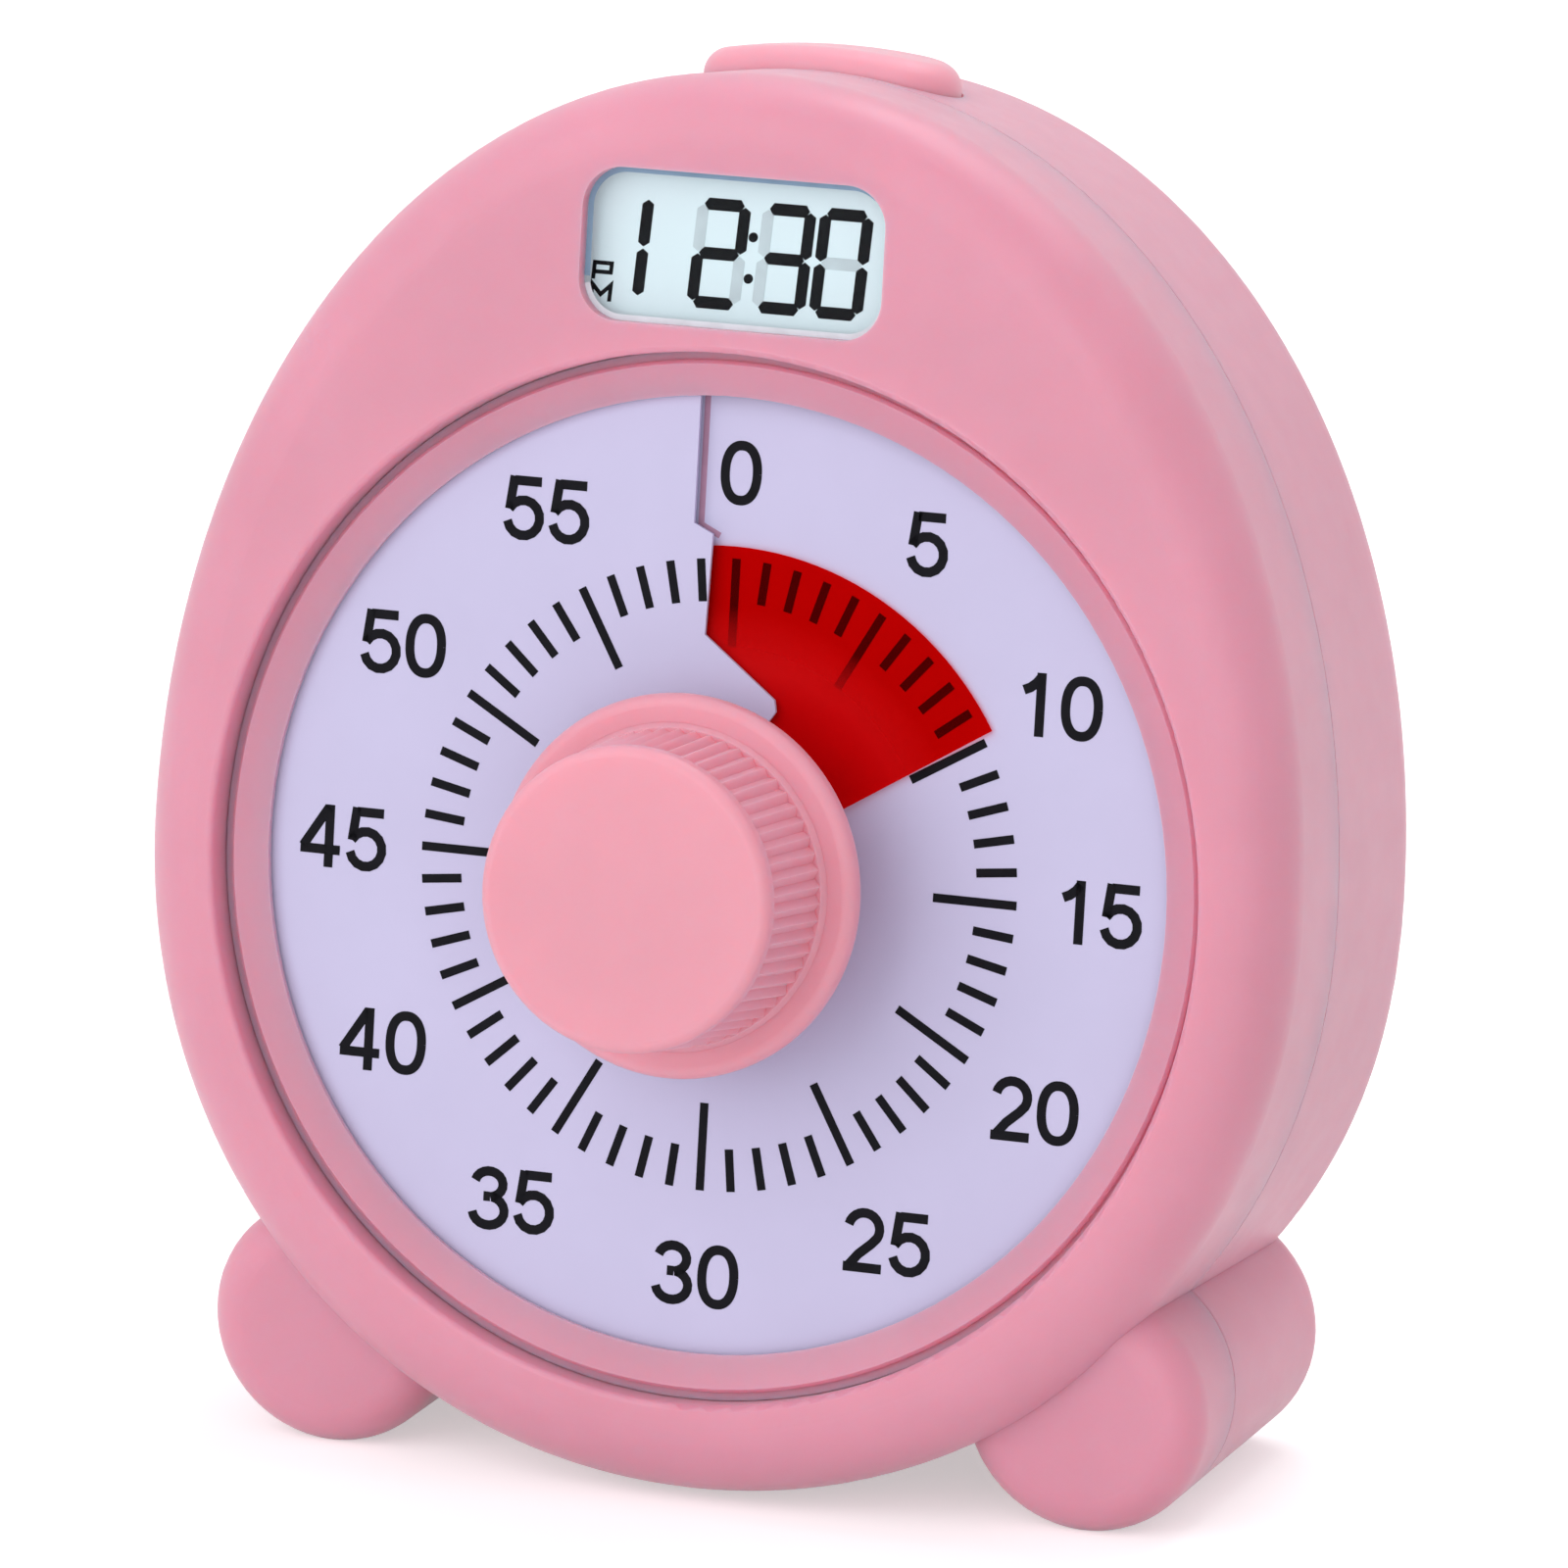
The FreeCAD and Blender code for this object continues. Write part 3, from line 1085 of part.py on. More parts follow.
def volume_slider():
    """Slider tip with a skirt behind the wall."""
    skirt_back, skirt_front, board_back = slider_levels()
    half = SLIDER_LENGTH / 2.0
    rise = SLIDER_WIDTH / 2.0
    tip = block(SLIDER_X - half, SLIDER_X + half, skirt_front, BACK_Y + SLIDER_PROUD,
                SLIDER_Z - rise, SLIDER_Z + rise)
    skirt = block(SLIDER_X - half - SLIDER_SKIRT, SLIDER_X + half + SLIDER_SKIRT, skirt_front,
                  skirt_back, SLIDER_Z - rise - SLIDER_SKIRT, SLIDER_Z + rise + SLIDER_SKIRT)
    return joined([tip, skirt])


def slide_switch():
    """Body of the slide switch on its board."""
    skirt_front, board_back = slider_levels()[1:]
    half = SLIDER_LENGTH / 2.0 + SLIDER_TRAVEL
    rise = SLIDER_WIDTH / 2.0 + 0.5
    return block(SLIDER_X - half, SLIDER_X + half, board_back, skirt_front - KEY_FLANGE_GAP,
                 SLIDER_Z - rise, SLIDER_Z + rise)


def sounder():
    """Round sounder in its rim on the back wall."""
    body = rod(0, SOUNDER_Z, INNER_BACK_Y - SOUNDER_DEPTH, INNER_BACK_Y, SOUNDER_RADIUS)
    port = rod(0, SOUNDER_Z, INNER_BACK_Y - SOUNDER_DEPTH / 2.0, INNER_BACK_Y,
               SOUND_HOLE_RING + 2.0 * SOUND_HOLE_RADIUS)
    return body.cut(port)


def cell_rows():
    """Height of each cell and the side its tip points to."""
    offset = CELL_RADIUS + CELL_GAP / 2.0
    return [(CELLS_Z + offset, 1), (CELLS_Z - offset, -1)]


def battery_cells():
    """Two cells side by side, pointing opposite ways."""
    cells = []
    half = CELL_LENGTH / 2.0
    for z, side in cell_rows():
        can = Part.makeCylinder(CELL_RADIUS, CELL_LENGTH - CELL_TIP_LENGTH,
                                Vector(-side * half, CELL_Y, z), Vector(side, 0, 0))
        tip = Part.makeCylinder(CELL_TIP_RADIUS, CELL_LENGTH, Vector(-side * half, CELL_Y, z),
                                Vector(side, 0, 0))
        cells.append(can.fuse(tip))
    return group(cells)


def contact_plates():
    """Plates against both ends of the battery box."""
    plates = []
    half = CONTACT_WIDTH / 2.0
    wall = BOX_HALF_WIDTH
    for z, tip_side in cell_rows():
        for side in SIDES:
            reach = BOX_END_ROOM if side == tip_side else CONTACT_THICKNESS
            x0 = side * wall
            x1 = side * (wall - CONTACT_THICKNESS)
            plate = block(min(x0, x1), max(x0, x1), CELL_Y - half, CELL_Y + half, z - half, z + half)
            if side == tip_side:
                nub_end = side * (wall - reach + 0.1)
                nub = Part.makeCylinder(CELL_TIP_RADIUS, abs(nub_end - x0), Vector(x0, CELL_Y, z),
                                        Vector(-side, 0, 0))
                plate = plate.fuse(nub)
            plates.append(plate)
    return group(plates)


def contact_springs():
    """Cone springs that press the flat end of each cell, as one wound tube each."""
    springs = []
    for z, tip_side in cell_rows():
        side = -tip_side
        start_x = side * (BOX_HALF_WIDTH - CONTACT_THICKNESS - SPRING_WIRE / 2.0)
        end_x = side * (CELL_LENGTH / 2.0 + SPRING_WIRE / 2.0 + 0.05)
        points = []
        steps = SPRING_TURNS * 8
        for step in range(steps + 1):
            share = step / steps
            angle = 2.0 * math.pi * SPRING_TURNS * share
            radius = SPRING_BASE_RADIUS + (SPRING_TIP_RADIUS - SPRING_BASE_RADIUS) * share
            points.append(Vector(start_x + (end_x - start_x) * share,
                                 CELL_Y + radius * math.cos(angle), z + radius * math.sin(angle)))
        curve = Part.BSplineCurve()
        curve.interpolate(Points=points)
        path = Part.Wire([curve.toShape()])
        tangent = curve.tangent(curve.FirstParameter)[0]
        turn = Rotation(Vector(0, 0, 1), tangent)
        corners = []
        for corner in range(SPRING_SIDES):
            angle = 2.0 * math.pi * corner / SPRING_SIDES
            offset = Vector(math.cos(angle), math.sin(angle), 0) * (SPRING_WIRE / 2.0)
            corners.append(points[0] + turn.multVec(offset))
        section = Part.makePolygon(corners + corners[:1])
        springs.append(path.makePipeShell([section], True, True))
    return group(springs)


def battery_door():
    """Door flush with the back: it turns on its rounded lower edge, two tongues hold it."""
    gap = DOOR_GAP
    bottom = DOOR_BOTTOM + HINGE_CLEARANCE
    plate = rounded_block(-DOOR_HALF_WIDTH + gap, DOOR_HALF_WIDTH - gap, BACK_Y - DOOR_THICKNESS,
                          BACK_Y, bottom, DOOR_TOP - gap, DOOR_CORNER - gap)
    plate = round_edges(plate, DOOR_EDGE_ROUND, BACK_Y)
    tongues = []
    tongue_back = BACK_Y - WALL - TONGUE_STANDOFF
    tongue_front = tongue_back - TONGUE_THICKNESS
    for side in SIDES:
        x0 = side * TONGUE_X - TONGUE_WIDTH / 2.0
        x1 = side * TONGUE_X + TONGUE_WIDTH / 2.0
        tongues.append(block(x0, x1, tongue_front, tongue_back, DOOR_BOTTOM - TONGUE_REACH,
                             bottom + 2.0 * TONGUE_THICKNESS))
        tongues.append(block(x0, x1, tongue_front, BACK_Y - DOOR_THICKNESS / 2.0, bottom,
                             bottom + 2.0 * TONGUE_THICKNESS))
    body = joined([plate] + tongues)
    scoop_z = DOOR_TOP - 1.0
    scoop = Part.makeSphere(LATCH_SCOOP_RADIUS,
                            Vector(0, BACK_Y + LATCH_SCOOP_RADIUS - LATCH_SCOOP_DEPTH, scoop_z - 2.5))
    return body.cut(scoop)


def shell_screws():
    """Screws deep in the back shell's pillars."""
    seat = SEAM_Y + SEAM_GAP + SHELL_SCREW_GRIP
    return group([screw(x, z, seat, SEAM_Y - SHELL_SCREW_BITE, SHELL_SCREW_RADIUS,
                        SHELL_SCREW_HEAD) for x, z in mirrored(SHELL_SCREWS)])


def build():
    """Every piece of the timer by name."""
    front, rear = shells()
    key_names = ("mode_button", "hour_button", "minute_button")
    pieces = {
        "front_housing": front_housing(front),
        "rear_housing": rear_housing(rear),
        "dial_ring": dial_ring(),
        "dial_plate": dial_plate(),
        "red_disc": red_disc(),
        "knob": knob(),
        "spindle": spindle(),
        "centre_wheel": centre_wheel(),
        "clutch_washer": clutch_washer(),
        "third_wheel": third_wheel(),
        "rotor": rotor(),
        "stator": stator(),
        "motor_coil": motor_coil(),
        "movement_case": movement_case(),
        "movement_cover": movement_cover(),
        "movement_screws": movement_screws(),
        "lcd_lens": lcd_lens(),
        "lcd_panel": lcd_panel(),
        "lcd_holder": lcd_holder(),
        "zebra_strip": zebra_strip(),
        "main_board": main_board(),
        "board_chip": board_chip(),
        "board_screws": board_screws(),
        "top_button": top_button(),
        "top_switch": top_switch(),
        "setting_switches": setting_switches(),
        "key_board": key_board(),
        "key_screws": key_screws(),
        "slider_board": slider_board(),
        "slide_switch": slide_switch(),
        "volume_slider": volume_slider(),
        "sounder": sounder(),
        "battery_cells": battery_cells(),
        "contact_plates": contact_plates(),
        "contact_springs": contact_springs(),
        "battery_door": battery_door(),
        "shell_screws": shell_screws(),
    }
    for name, (x, z) in zip(key_names, key_places()):
        pieces[name] = setting_button(x, z)
    return pieces


def stand_up(pieces):
    """Lean the timer back and put the middle of its footprint on the origin."""
    lean = Placement(Vector(0, 0, 0), Rotation(Vector(1, 0, 0), -LEAN))
    leaned = {}
    for name, shape in pieces.items():
        moved = shape.copy()
        moved.Placement = lean.multiply(moved.Placement)
        leaned[name] = moved
    bounds = FreeCAD.BoundBox()
    for shape in leaned.values():
        bounds.add(shape.optimalBoundingBox(False, False))
    floor_point = lean.multVec(Vector(FOOT_X, FOOT_FRONT_Y, FOOT_Z))
    floor_z = floor_point.z - FOOT_RADIUS + FOOT_FLAT_DEPTH
    shift = Vector(-bounds.Center.x, -bounds.Center.y, -floor_z)
    for shape in leaned.values():
        shape.Placement = Placement(shift, Rotation()).multiply(shape.Placement)
    print("moved by", round(shift.x, 4), round(shift.y, 4), round(shift.z, 4))
    print("size", round(bounds.XLength, 2), round(bounds.YLength, 2), round(bounds.ZLength, 2))
    return leaned


def export(pieces):
    """Write each piece to its own file and report what is not sound."""
    os.makedirs("parts", exist_ok=True)
    for name, shape in pieces.items():
        if not shape.isValid():
            print("not valid:", name)
        print(name, "solids", len(shape.Solids), "volume", round(shape.Volume, 1))
        shape.exportStep("parts/" + name + ".step")


export(stand_up(build()))
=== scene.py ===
"""Looks of the visual countdown timer: studio, camera, materials, printed dial and display."""

import json
import math

import bmesh
import bpy
from mathutils import Matrix, Vector


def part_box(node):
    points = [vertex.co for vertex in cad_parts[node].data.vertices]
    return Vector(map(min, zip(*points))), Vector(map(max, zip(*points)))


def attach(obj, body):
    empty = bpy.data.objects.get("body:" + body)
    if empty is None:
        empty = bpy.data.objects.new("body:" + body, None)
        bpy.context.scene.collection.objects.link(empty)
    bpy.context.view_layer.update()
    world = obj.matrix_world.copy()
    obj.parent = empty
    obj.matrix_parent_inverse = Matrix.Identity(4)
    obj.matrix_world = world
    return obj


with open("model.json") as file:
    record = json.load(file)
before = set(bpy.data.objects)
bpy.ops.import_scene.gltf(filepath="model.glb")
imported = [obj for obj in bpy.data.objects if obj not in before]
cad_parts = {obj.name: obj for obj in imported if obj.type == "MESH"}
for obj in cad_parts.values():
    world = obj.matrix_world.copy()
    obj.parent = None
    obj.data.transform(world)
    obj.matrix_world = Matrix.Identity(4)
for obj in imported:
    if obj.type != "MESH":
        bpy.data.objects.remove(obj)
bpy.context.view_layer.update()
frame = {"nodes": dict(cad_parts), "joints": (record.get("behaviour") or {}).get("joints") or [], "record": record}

MM = 0.001

# Camera: where it looks from, in degrees round and above the timer, and what it looks at
CAMERA_AZIMUTH = 21.392
CAMERA_ELEVATION = 14.706
CAMERA_ROLL = 0.072
CAMERA_DISTANCE = 962.49
CAMERA_LENS = 306.06
CAMERA_AIM = (3.885, -5.077, 51.593)
SENSOR_WIDTH = 36.0
CAMERA_REACH = 10.0

# Studio: floor radius in metres, its grey and glow, and the sky's strength as a light and as seen
FLOOR_RADIUS = 6.0
FLOOR_GREY = 0.8
FLOOR_GLOW = 0.46
SKY_COLOUR = (0.97, 0.97, 1.0, 1.0)
SKY_LIGHT = 0.58
SKY_SEEN = 1.0

# Softboxes: name, place in metres, side in metres, power in watts and colour
LIGHT_AIM = (0.0, 0.0, 0.05)
SOFTBOXES = (("key_light", (-0.52, -1.00, 0.66), 1.30, 7.2, (1.0, 0.985, 0.99)),
             ("fill_light", (0.42, -1.12, 0.02), 0.90, 3.2, (1.0, 0.98, 1.0)),
             ("top_light", (0.10, 0.35, 0.95), 0.60, 3.8, (1.0, 1.0, 1.0)))

# Printed dial: a screw surface whose front lies at DIAL_Y under twelve o'clock, in mm
DIAL_Y = 0.45
DIAL_PITCH = 0.9
TICK_COUNT = 60
TICK_OUTER = 23.0
TICK_INNER = 19.9
TICK_LONG_INNER = 16.6
TICK_WIDTH = 0.64
INK_LIFT = 0.03

# Edge of the film's lighter band near the knob, in metres from the knob's axis; the band's extra brightness is
# painted light that lifts the knob's shadow
FILM_BAND_INNER = 0.0157
FILM_BAND_OUTER = 0.0165

# Slit, the painted shadow line along it, and numbers on the dial, in mm
SLIT_X = -3.1
SLIT_SHADOW_WIDTH = 0.45
SLIT_LINE = ((0.0, 36.0), (0.0, 25.25), (1.5, 24.55))
NUMBER_RADIUS = 29.2
NUMBER_SPACING = 3.55
NUMBER_STROKE = 0.70
ARC_STEPS = 14
MITRE_LIMIT = 0.35

# Band on the cells' sleeves, in metres from the middle towards the tip
BAND_START = 0.0085
BAND_EDGE = 0.0002

# Display window: rounded opening in front of the clear pane, in mm
WINDOW_HALF_WIDTH = 11.65
WINDOW_HALF_HEIGHT = 5.55
WINDOW_Z = 45.3
WINDOW_CORNER = 3.0
PANE_Y = -2.8
# Width of the ribbons of painted shade and painted highlight round the pane's rim
PANE_PAINTED_RIM_WIDTH = 0.42

# Display: digits on the front of the display glass, in mm
GLASS_Y = -1.7
DIGIT_Z = 45.0
DIGIT_HALF_WIDTH = 1.62
DIGIT_HALF_HEIGHT = 3.55
DIGIT_STROKE = 0.88
DIGIT_SLANT = 0.07
DIGIT_GAP = 0.12
SEGMENT_INSET = DIGIT_STROKE * 0.3 + DIGIT_GAP
SEGMENT_TIP = 0.7
COLON_X = 0.65
COLON_HEIGHTS = (46.4, 43.4)
COLON_RADIUS = 0.36

# Digits that read 12:30: middle, segments that are on and segments that are off
DIGIT_CELLS = ((-9.3, "bc", ""), (-1.82, "abged", "cf"), (3.2, "abgcd", "ef"), (7.6, "abcdef", "g"))

# Generic half-day mark at the display's lower left, in mm
MARK_X = -11.25
MARK_Z = 40.9
MARK_SIZE = 1.2
MARK_STROKE = 0.30
MARK_LINES = (((0.0, 1.3), (0.0, 2.3), (1.1, 2.3), (1.1, 1.75), (0.0, 1.75)),
              ((0.0, 0.0), (0.0, 1.0), (0.6, 0.4), (1.2, 1.0), (1.2, 0.0)))


def knob_axis():
    """Placement of the dial's own frame: X right, Y into the body, Z up the face."""
    turn = next(joint for joint in frame["joints"] if joint["name"] == "knob_turn")
    into = Vector(turn["axis"]).normalized()
    right = Vector((1.0, 0.0, 0.0))
    columns = Matrix((right, into, right.cross(into))).transposed()
    return Matrix.Translation(Vector(turn["pos_m"])) @ columns.to_4x4()


DIAL_FRAME = knob_axis()


def place(x, y, z):
    """A point of the dial's frame in mm as a point of the model in metres."""
    return DIAL_FRAME @ (Vector((x, y, z)) * MM)


def srgb(red, green, blue):
    """A colour given as 0 to 255 on a screen, as linear light."""
    linear = []
    for value in (red, green, blue):
        share = value / 255.0
        linear.append(share / 12.92 if share <= 0.04045 else ((share + 0.055) / 1.055) ** 2.4)
    return (*linear, 1.0)


class Shader:
    """A material under construction: its nodes, links and main shader."""

    def __init__(self, name):
        self.material = bpy.data.materials.new(name)
        self.material.use_nodes = True
        self.nodes = self.material.node_tree.nodes
        self.links = self.material.node_tree.links
        self.main = self.nodes["Principled BSDF"]
        self.output = self.nodes["Material Output"]

    def add(self, kind, **inputs):
        """A node with constant inputs by socket name."""
        node = self.nodes.new(kind)
        for socket, value in inputs.items():
            node.inputs[socket.replace("_", " ")].default_value = value
        return node

    def noise(self, scale, detail=3.0):
        """Noise in the piece's own coordinates; scale is in cycles per metre."""
        coordinates = self.nodes.new("ShaderNodeTexCoord")
        noise = self.add("ShaderNodeTexNoise", Scale=scale, Detail=detail, Roughness=0.5)
        self.links.new(coordinates.outputs["Object"], noise.inputs["Vector"])
        return noise.outputs["Fac"]

    def ramp(self, factor, low, high, start=0.3, end=0.7):
        """A colour or grey that follows a factor between two values."""
        ramp = self.nodes.new("ShaderNodeValToRGB")
        ramp.color_ramp.elements[0].position = start
        ramp.color_ramp.elements[1].position = end
        ramp.color_ramp.elements[0].color = low
        ramp.color_ramp.elements[1].color = high
        self.links.new(factor, ramp.inputs["Fac"])
        return ramp.outputs["Color"]

    def colour(self, base, spread=0.04, scale=60.0):
        """Base colour that varies a little over the piece."""
        low = tuple(max(0.0, value * (1.0 - spread)) for value in base[:3]) + (1.0,)
        high = tuple(min(1.0, value * (1.0 + spread)) for value in base[:3]) + (1.0,)
        self.links.new(self.ramp(self.noise(scale), low, high), self.main.inputs["Base Color"])

    def axis_distance(self):
        """Distance in metres from the knob's axis, which the piece turns about."""
        coordinates = self.nodes.new("ShaderNodeTexCoord")
        offset = self.nodes.new("ShaderNodeVectorMath")
        offset.operation = "SUBTRACT"
        offset.inputs[1].default_value = DIAL_FRAME.translation
        across = self.nodes.new("ShaderNodeVectorMath")
        across.operation = "CROSS_PRODUCT"
        across.inputs[1].default_value = DIAL_FRAME.col[1].to_3d()
        length = self.nodes.new("ShaderNodeVectorMath")
        length.operation = "LENGTH"
        self.links.new(coordinates.outputs["Object"], offset.inputs[0])
        self.links.new(offset.outputs["Vector"], across.inputs[0])
        self.links.new(across.outputs["Vector"], length.inputs[0])
        return length.outputs["Value"]

    def finish(self, roughness, spread=0.05, scale=400.0):
        """Roughness that varies a little over the piece."""
        low = (roughness - spread,) * 3 + (1.0,)
        high = (roughness + spread,) * 3 + (1.0,)
        self.links.new(self.ramp(self.noise(scale), low, high), self.main.inputs["Roughness"])

    def grain(self, scale, depth, strength):
        """Fine surface grain; depth is in metres."""
        bump = self.add("ShaderNodeBump", Strength=strength, Distance=depth)
        self.links.new(self.noise(scale, 2.0), bump.inputs["Height"])
        self.links.new(bump.outputs["Normal"], self.main.inputs["Normal"])


def plastic(name, base, roughness, scatter=0.0):
    """Moulded plastic with a fine satin grain."""
    shader = Shader(name)
    shader.colour(base)
    shader.finish(roughness)
    shader.grain(9000.0, 0.00002, 0.25)
    shader.main.inputs["Specular IOR Level"].default_value = 0.42
    if scatter:
        shader.main.inputs["Sheen Weight"].default_value = 0.16
        shader.main.inputs["Sheen Roughness"].default_value = 0.35
        shader.main.inputs["Subsurface Weight"].default_value = scatter
        shader.main.inputs["Subsurface Radius"].default_value = (1.0, 0.28, 0.24)
        shader.main.inputs["Subsurface Scale"].default_value = 0.004
    return shader.material


def metal(name, base, roughness=0.3, grain_scale=5000.0):
    """Bare or plated metal with fine machining marks."""
    shader = Shader(name)
    shader.colour(base, 0.06, 300.0)
    shader.finish(roughness, 0.06, 1500.0)
    shader.grain(grain_scale, 0.00001, 0.3)
    shader.main.inputs["Metallic"].default_value = 1.0
    return shader.material


def card(name, base):
    """Matt printed card with a faint paper tooth."""
    shader = Shader(name)
    shader.colour(base, 0.015, 120.0)
    shader.finish(0.55, 0.05, 900.0)
    shader.grain(6000.0, 0.00001, 0.3)
    shader.main.inputs["Specular IOR Level"].default_value = 0.3
    return shader.material


def film(name, base, tint, inner_tint, share, inner_share):
    """Coloured film, brighter near the knob: light passes tinted, a little comes back from it. The lighter band
    near the knob is partly the film's own and partly painted light that lifts the knob's shadow.
    """
    shader = Shader(name)
    shader.colour(base, 0.06, 90.0)
    shader.finish(0.38, 0.04, 500.0)
    shader.main.inputs["Specular IOR Level"].default_value = 0.12
    through = shader.add("ShaderNodeBsdfTransparent")
    tints = shader.ramp(shader.axis_distance(), inner_tint, tint, FILM_BAND_INNER, FILM_BAND_OUTER)
    shader.links.new(tints, through.inputs["Color"])
    mix = shader.nodes.new("ShaderNodeMixShader")
    shares = shader.ramp(shader.axis_distance(), (inner_share,) * 3 + (1.0,), (share,) * 3 + (1.0,),
                         FILM_BAND_INNER, FILM_BAND_OUTER)
    shader.links.new(shares, mix.inputs["Fac"])
    shader.links.new(through.outputs["BSDF"], mix.inputs[1])
    shader.links.new(shader.main.outputs["BSDF"], mix.inputs[2])
    shader.links.new(mix.outputs["Shader"], shader.output.inputs["Surface"])
    return shader.material


def display(name, base, glow):
    """Display glass that glows a little: painted light that lifts the shade of its recess."""
    shader = Shader(name)
    shader.colour(base, 0.01, 200.0)
    shader.finish(0.4, 0.03, 500.0)
    shader.main.inputs["Specular IOR Level"].default_value = 0.2
    shader.main.inputs["Emission Color"].default_value = base
    shader.main.inputs["Emission Strength"].default_value = glow
    return shader.material


def clear(name):
    """Clear moulded window: mostly see-through with a polished surface."""
    shader = Shader(name)
    shader.colour(srgb(66, 78, 84), 0.01, 80.0)
    shader.finish(0.08, 0.02, 300.0)
    shader.main.inputs["Specular IOR Level"].default_value = 0.25
    shader.main.inputs["Alpha"].default_value = 0.03
    return shader.material


def ink(name, base, spread=0.25):
    """Printed ink, a little uneven; the same flat finish colours the ribbons of painted shade, painted highlight
    and painted shadow.
    """
    shader = Shader(name)
    shader.colour(base, spread, 700.0)
    shader.finish(0.6, 0.06, 900.0)
    shader.main.inputs["Specular IOR Level"].default_value = 0.1
    return shader.material


def label(name, base, band):
    """Printed sleeves of the two cells, each with a copper-coloured band at its tip's end."""
    shader = Shader(name)
    coordinates = shader.nodes.new("ShaderNodeTexCoord")
    split = shader.nodes.new("ShaderNodeSeparateXYZ")
    shader.links.new(coordinates.outputs["Object"], split.inputs["Vector"])
    low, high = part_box("battery_cells")
    above = shader.nodes.new("ShaderNodeMath")
    above.operation = "SUBTRACT"
    above.inputs[1].default_value = (low[2] + high[2]) / 2.0
    side = shader.nodes.new("ShaderNodeMath")
    side.operation = "SIGN"
    towards_tip = shader.nodes.new("ShaderNodeMath")
    towards_tip.operation = "MULTIPLY"
    shader.links.new(split.outputs["Z"], above.inputs[0])
    shader.links.new(above.outputs[0], side.inputs[0])
    shader.links.new(side.outputs[0], towards_tip.inputs[0])
    shader.links.new(split.outputs["X"], towards_tip.inputs[1])
    colours = shader.ramp(towards_tip.outputs[0], base, band, BAND_START, BAND_START + BAND_EDGE)
    shader.links.new(colours, shader.main.inputs["Base Color"])
    shader.finish(0.32, 0.05, 700.0)
    shader.main.inputs["Metallic"].default_value = 0.4
    return shader.material


PINK = srgb(226, 154, 174)

MATERIALS = {
    "pink_shell": plastic("pink_shell", PINK, 0.42, 0.9),
    "pink_knob": plastic("pink_knob", srgb(233, 163, 178), 0.42, 0.9),
    # The button's pink is a touch lighter than the shell's: painted light for its upward-facing top
    "button_pink": plastic("button_pink", srgb(240, 166, 182), 0.40, 0.9),
    "dial_white": card("dial_white", srgb(203, 200, 231)),
    # The film's lighter band near the knob is partly painted light that lifts the knob's shadow
    "red_film": film("red_film", srgb(232, 0, 10), srgb(247, 2, 8), srgb(255, 8, 20), 0.04, 0.38),
    "steel": metal("steel", srgb(178, 180, 184)),
    "zinc_screw": metal("zinc_screw", srgb(190, 192, 198), 0.35),
    "wheel_white": plastic("wheel_white", srgb(230, 228, 222), 0.5),
    "case_black": plastic("case_black", srgb(38, 38, 42), 0.5),
    "copper_coil": metal("copper_coil", srgb(190, 98, 52), 0.35, 20000.0),
    "clear_lens": clear("clear_lens"),
    # The display glass glows a little: painted light against the shade of its recess
    "lcd_glass": display("lcd_glass", srgb(214, 235, 240), 0.17),
    "holder_white": plastic("holder_white", srgb(232, 232, 232), 0.5),
    "contact_rubber": plastic("contact_rubber", srgb(120, 70, 74), 0.7),
    "board_green": plastic("board_green", srgb(30, 98, 58), 0.45),
    "resin_black": plastic("resin_black", srgb(22, 22, 24), 0.25),
    "key_white": plastic("key_white", srgb(238, 232, 236), 0.42),
    "switch_black": plastic("switch_black", srgb(42, 42, 46), 0.5),
    "sounder_black": plastic("sounder_black", srgb(34, 34, 36), 0.55),
    "cell_label": label("cell_label", srgb(46, 50, 60), srgb(190, 140, 70)),
    "spring_steel": metal("spring_steel", srgb(214, 216, 220), 0.2),
    # Painted shade and painted highlight round the display pane
    "pane_rim_painted_shade": ink("pane_rim_painted_shade", srgb(138, 172, 196), 0.06),
    "pane_rim_painted_highlight": ink("pane_rim_painted_highlight", srgb(226, 238, 243), 0.06),
    # Painted shadow along the dial's slit
    "slit_painted_shadow": ink("slit_painted_shadow", srgb(182, 140, 166), 0.06),
    "dial_ink": ink("dial_ink", srgb(13, 13, 19)),
    "segment_ink": ink("segment_ink", srgb(8, 9, 12)),
    "segment_ghost": ink("segment_ghost", srgb(203, 222, 227), 0.06),
}


def dress_cad():
    """Each CAD node gets the material of its slot."""
    for part in frame["record"]["subparts"]:
        piece = frame["nodes"][part["node"]]
        piece.data.materials.clear()
        piece.data.materials.append(MATERIALS[part["material_slot"]])


def add_piece(name, mesh, body, material):
    """A mesh as a piece that rides on a body."""
    mesh.materials.append(MATERIALS[material])
    piece = bpy.data.objects.new(name, mesh)
    bpy.context.scene.collection.objects.link(piece)
    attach(piece, body)
    return piece


def strip(points, width):
    """Left and right edge points of a stroke along a centre line in one plane."""
    edges = []
    for index, (x, z) in enumerate(points):
        before = Vector(points[max(index - 1, 0)])
        after = Vector(points[min(index + 1, len(points) - 1)])
        middle = Vector((x, z))
        into = (middle - before).normalized() if index else (after - middle).normalized()
        out = (after - middle).normalized() if index < len(points) - 1 else into
        along = (into + out).normalized()
        side = Vector((-along.y, along.x))
        normal = Vector((-into.y, into.x))
        reach = width / 2.0 / max(MITRE_LIMIT, side.dot(normal))
        edges.append((middle + side * reach, middle - side * reach))
    return edges


def arc(x, z, radius_x, radius_z, start, end):
    """Points along part of an ellipse, angles in degrees from the right, anticlockwise."""
    points = []
    for step in range(ARC_STEPS + 1):
        angle = math.radians(start + (end - start) * step / ARC_STEPS)
        points.append((x + radius_x * math.cos(angle), z + radius_z * math.sin(angle)))
    return points


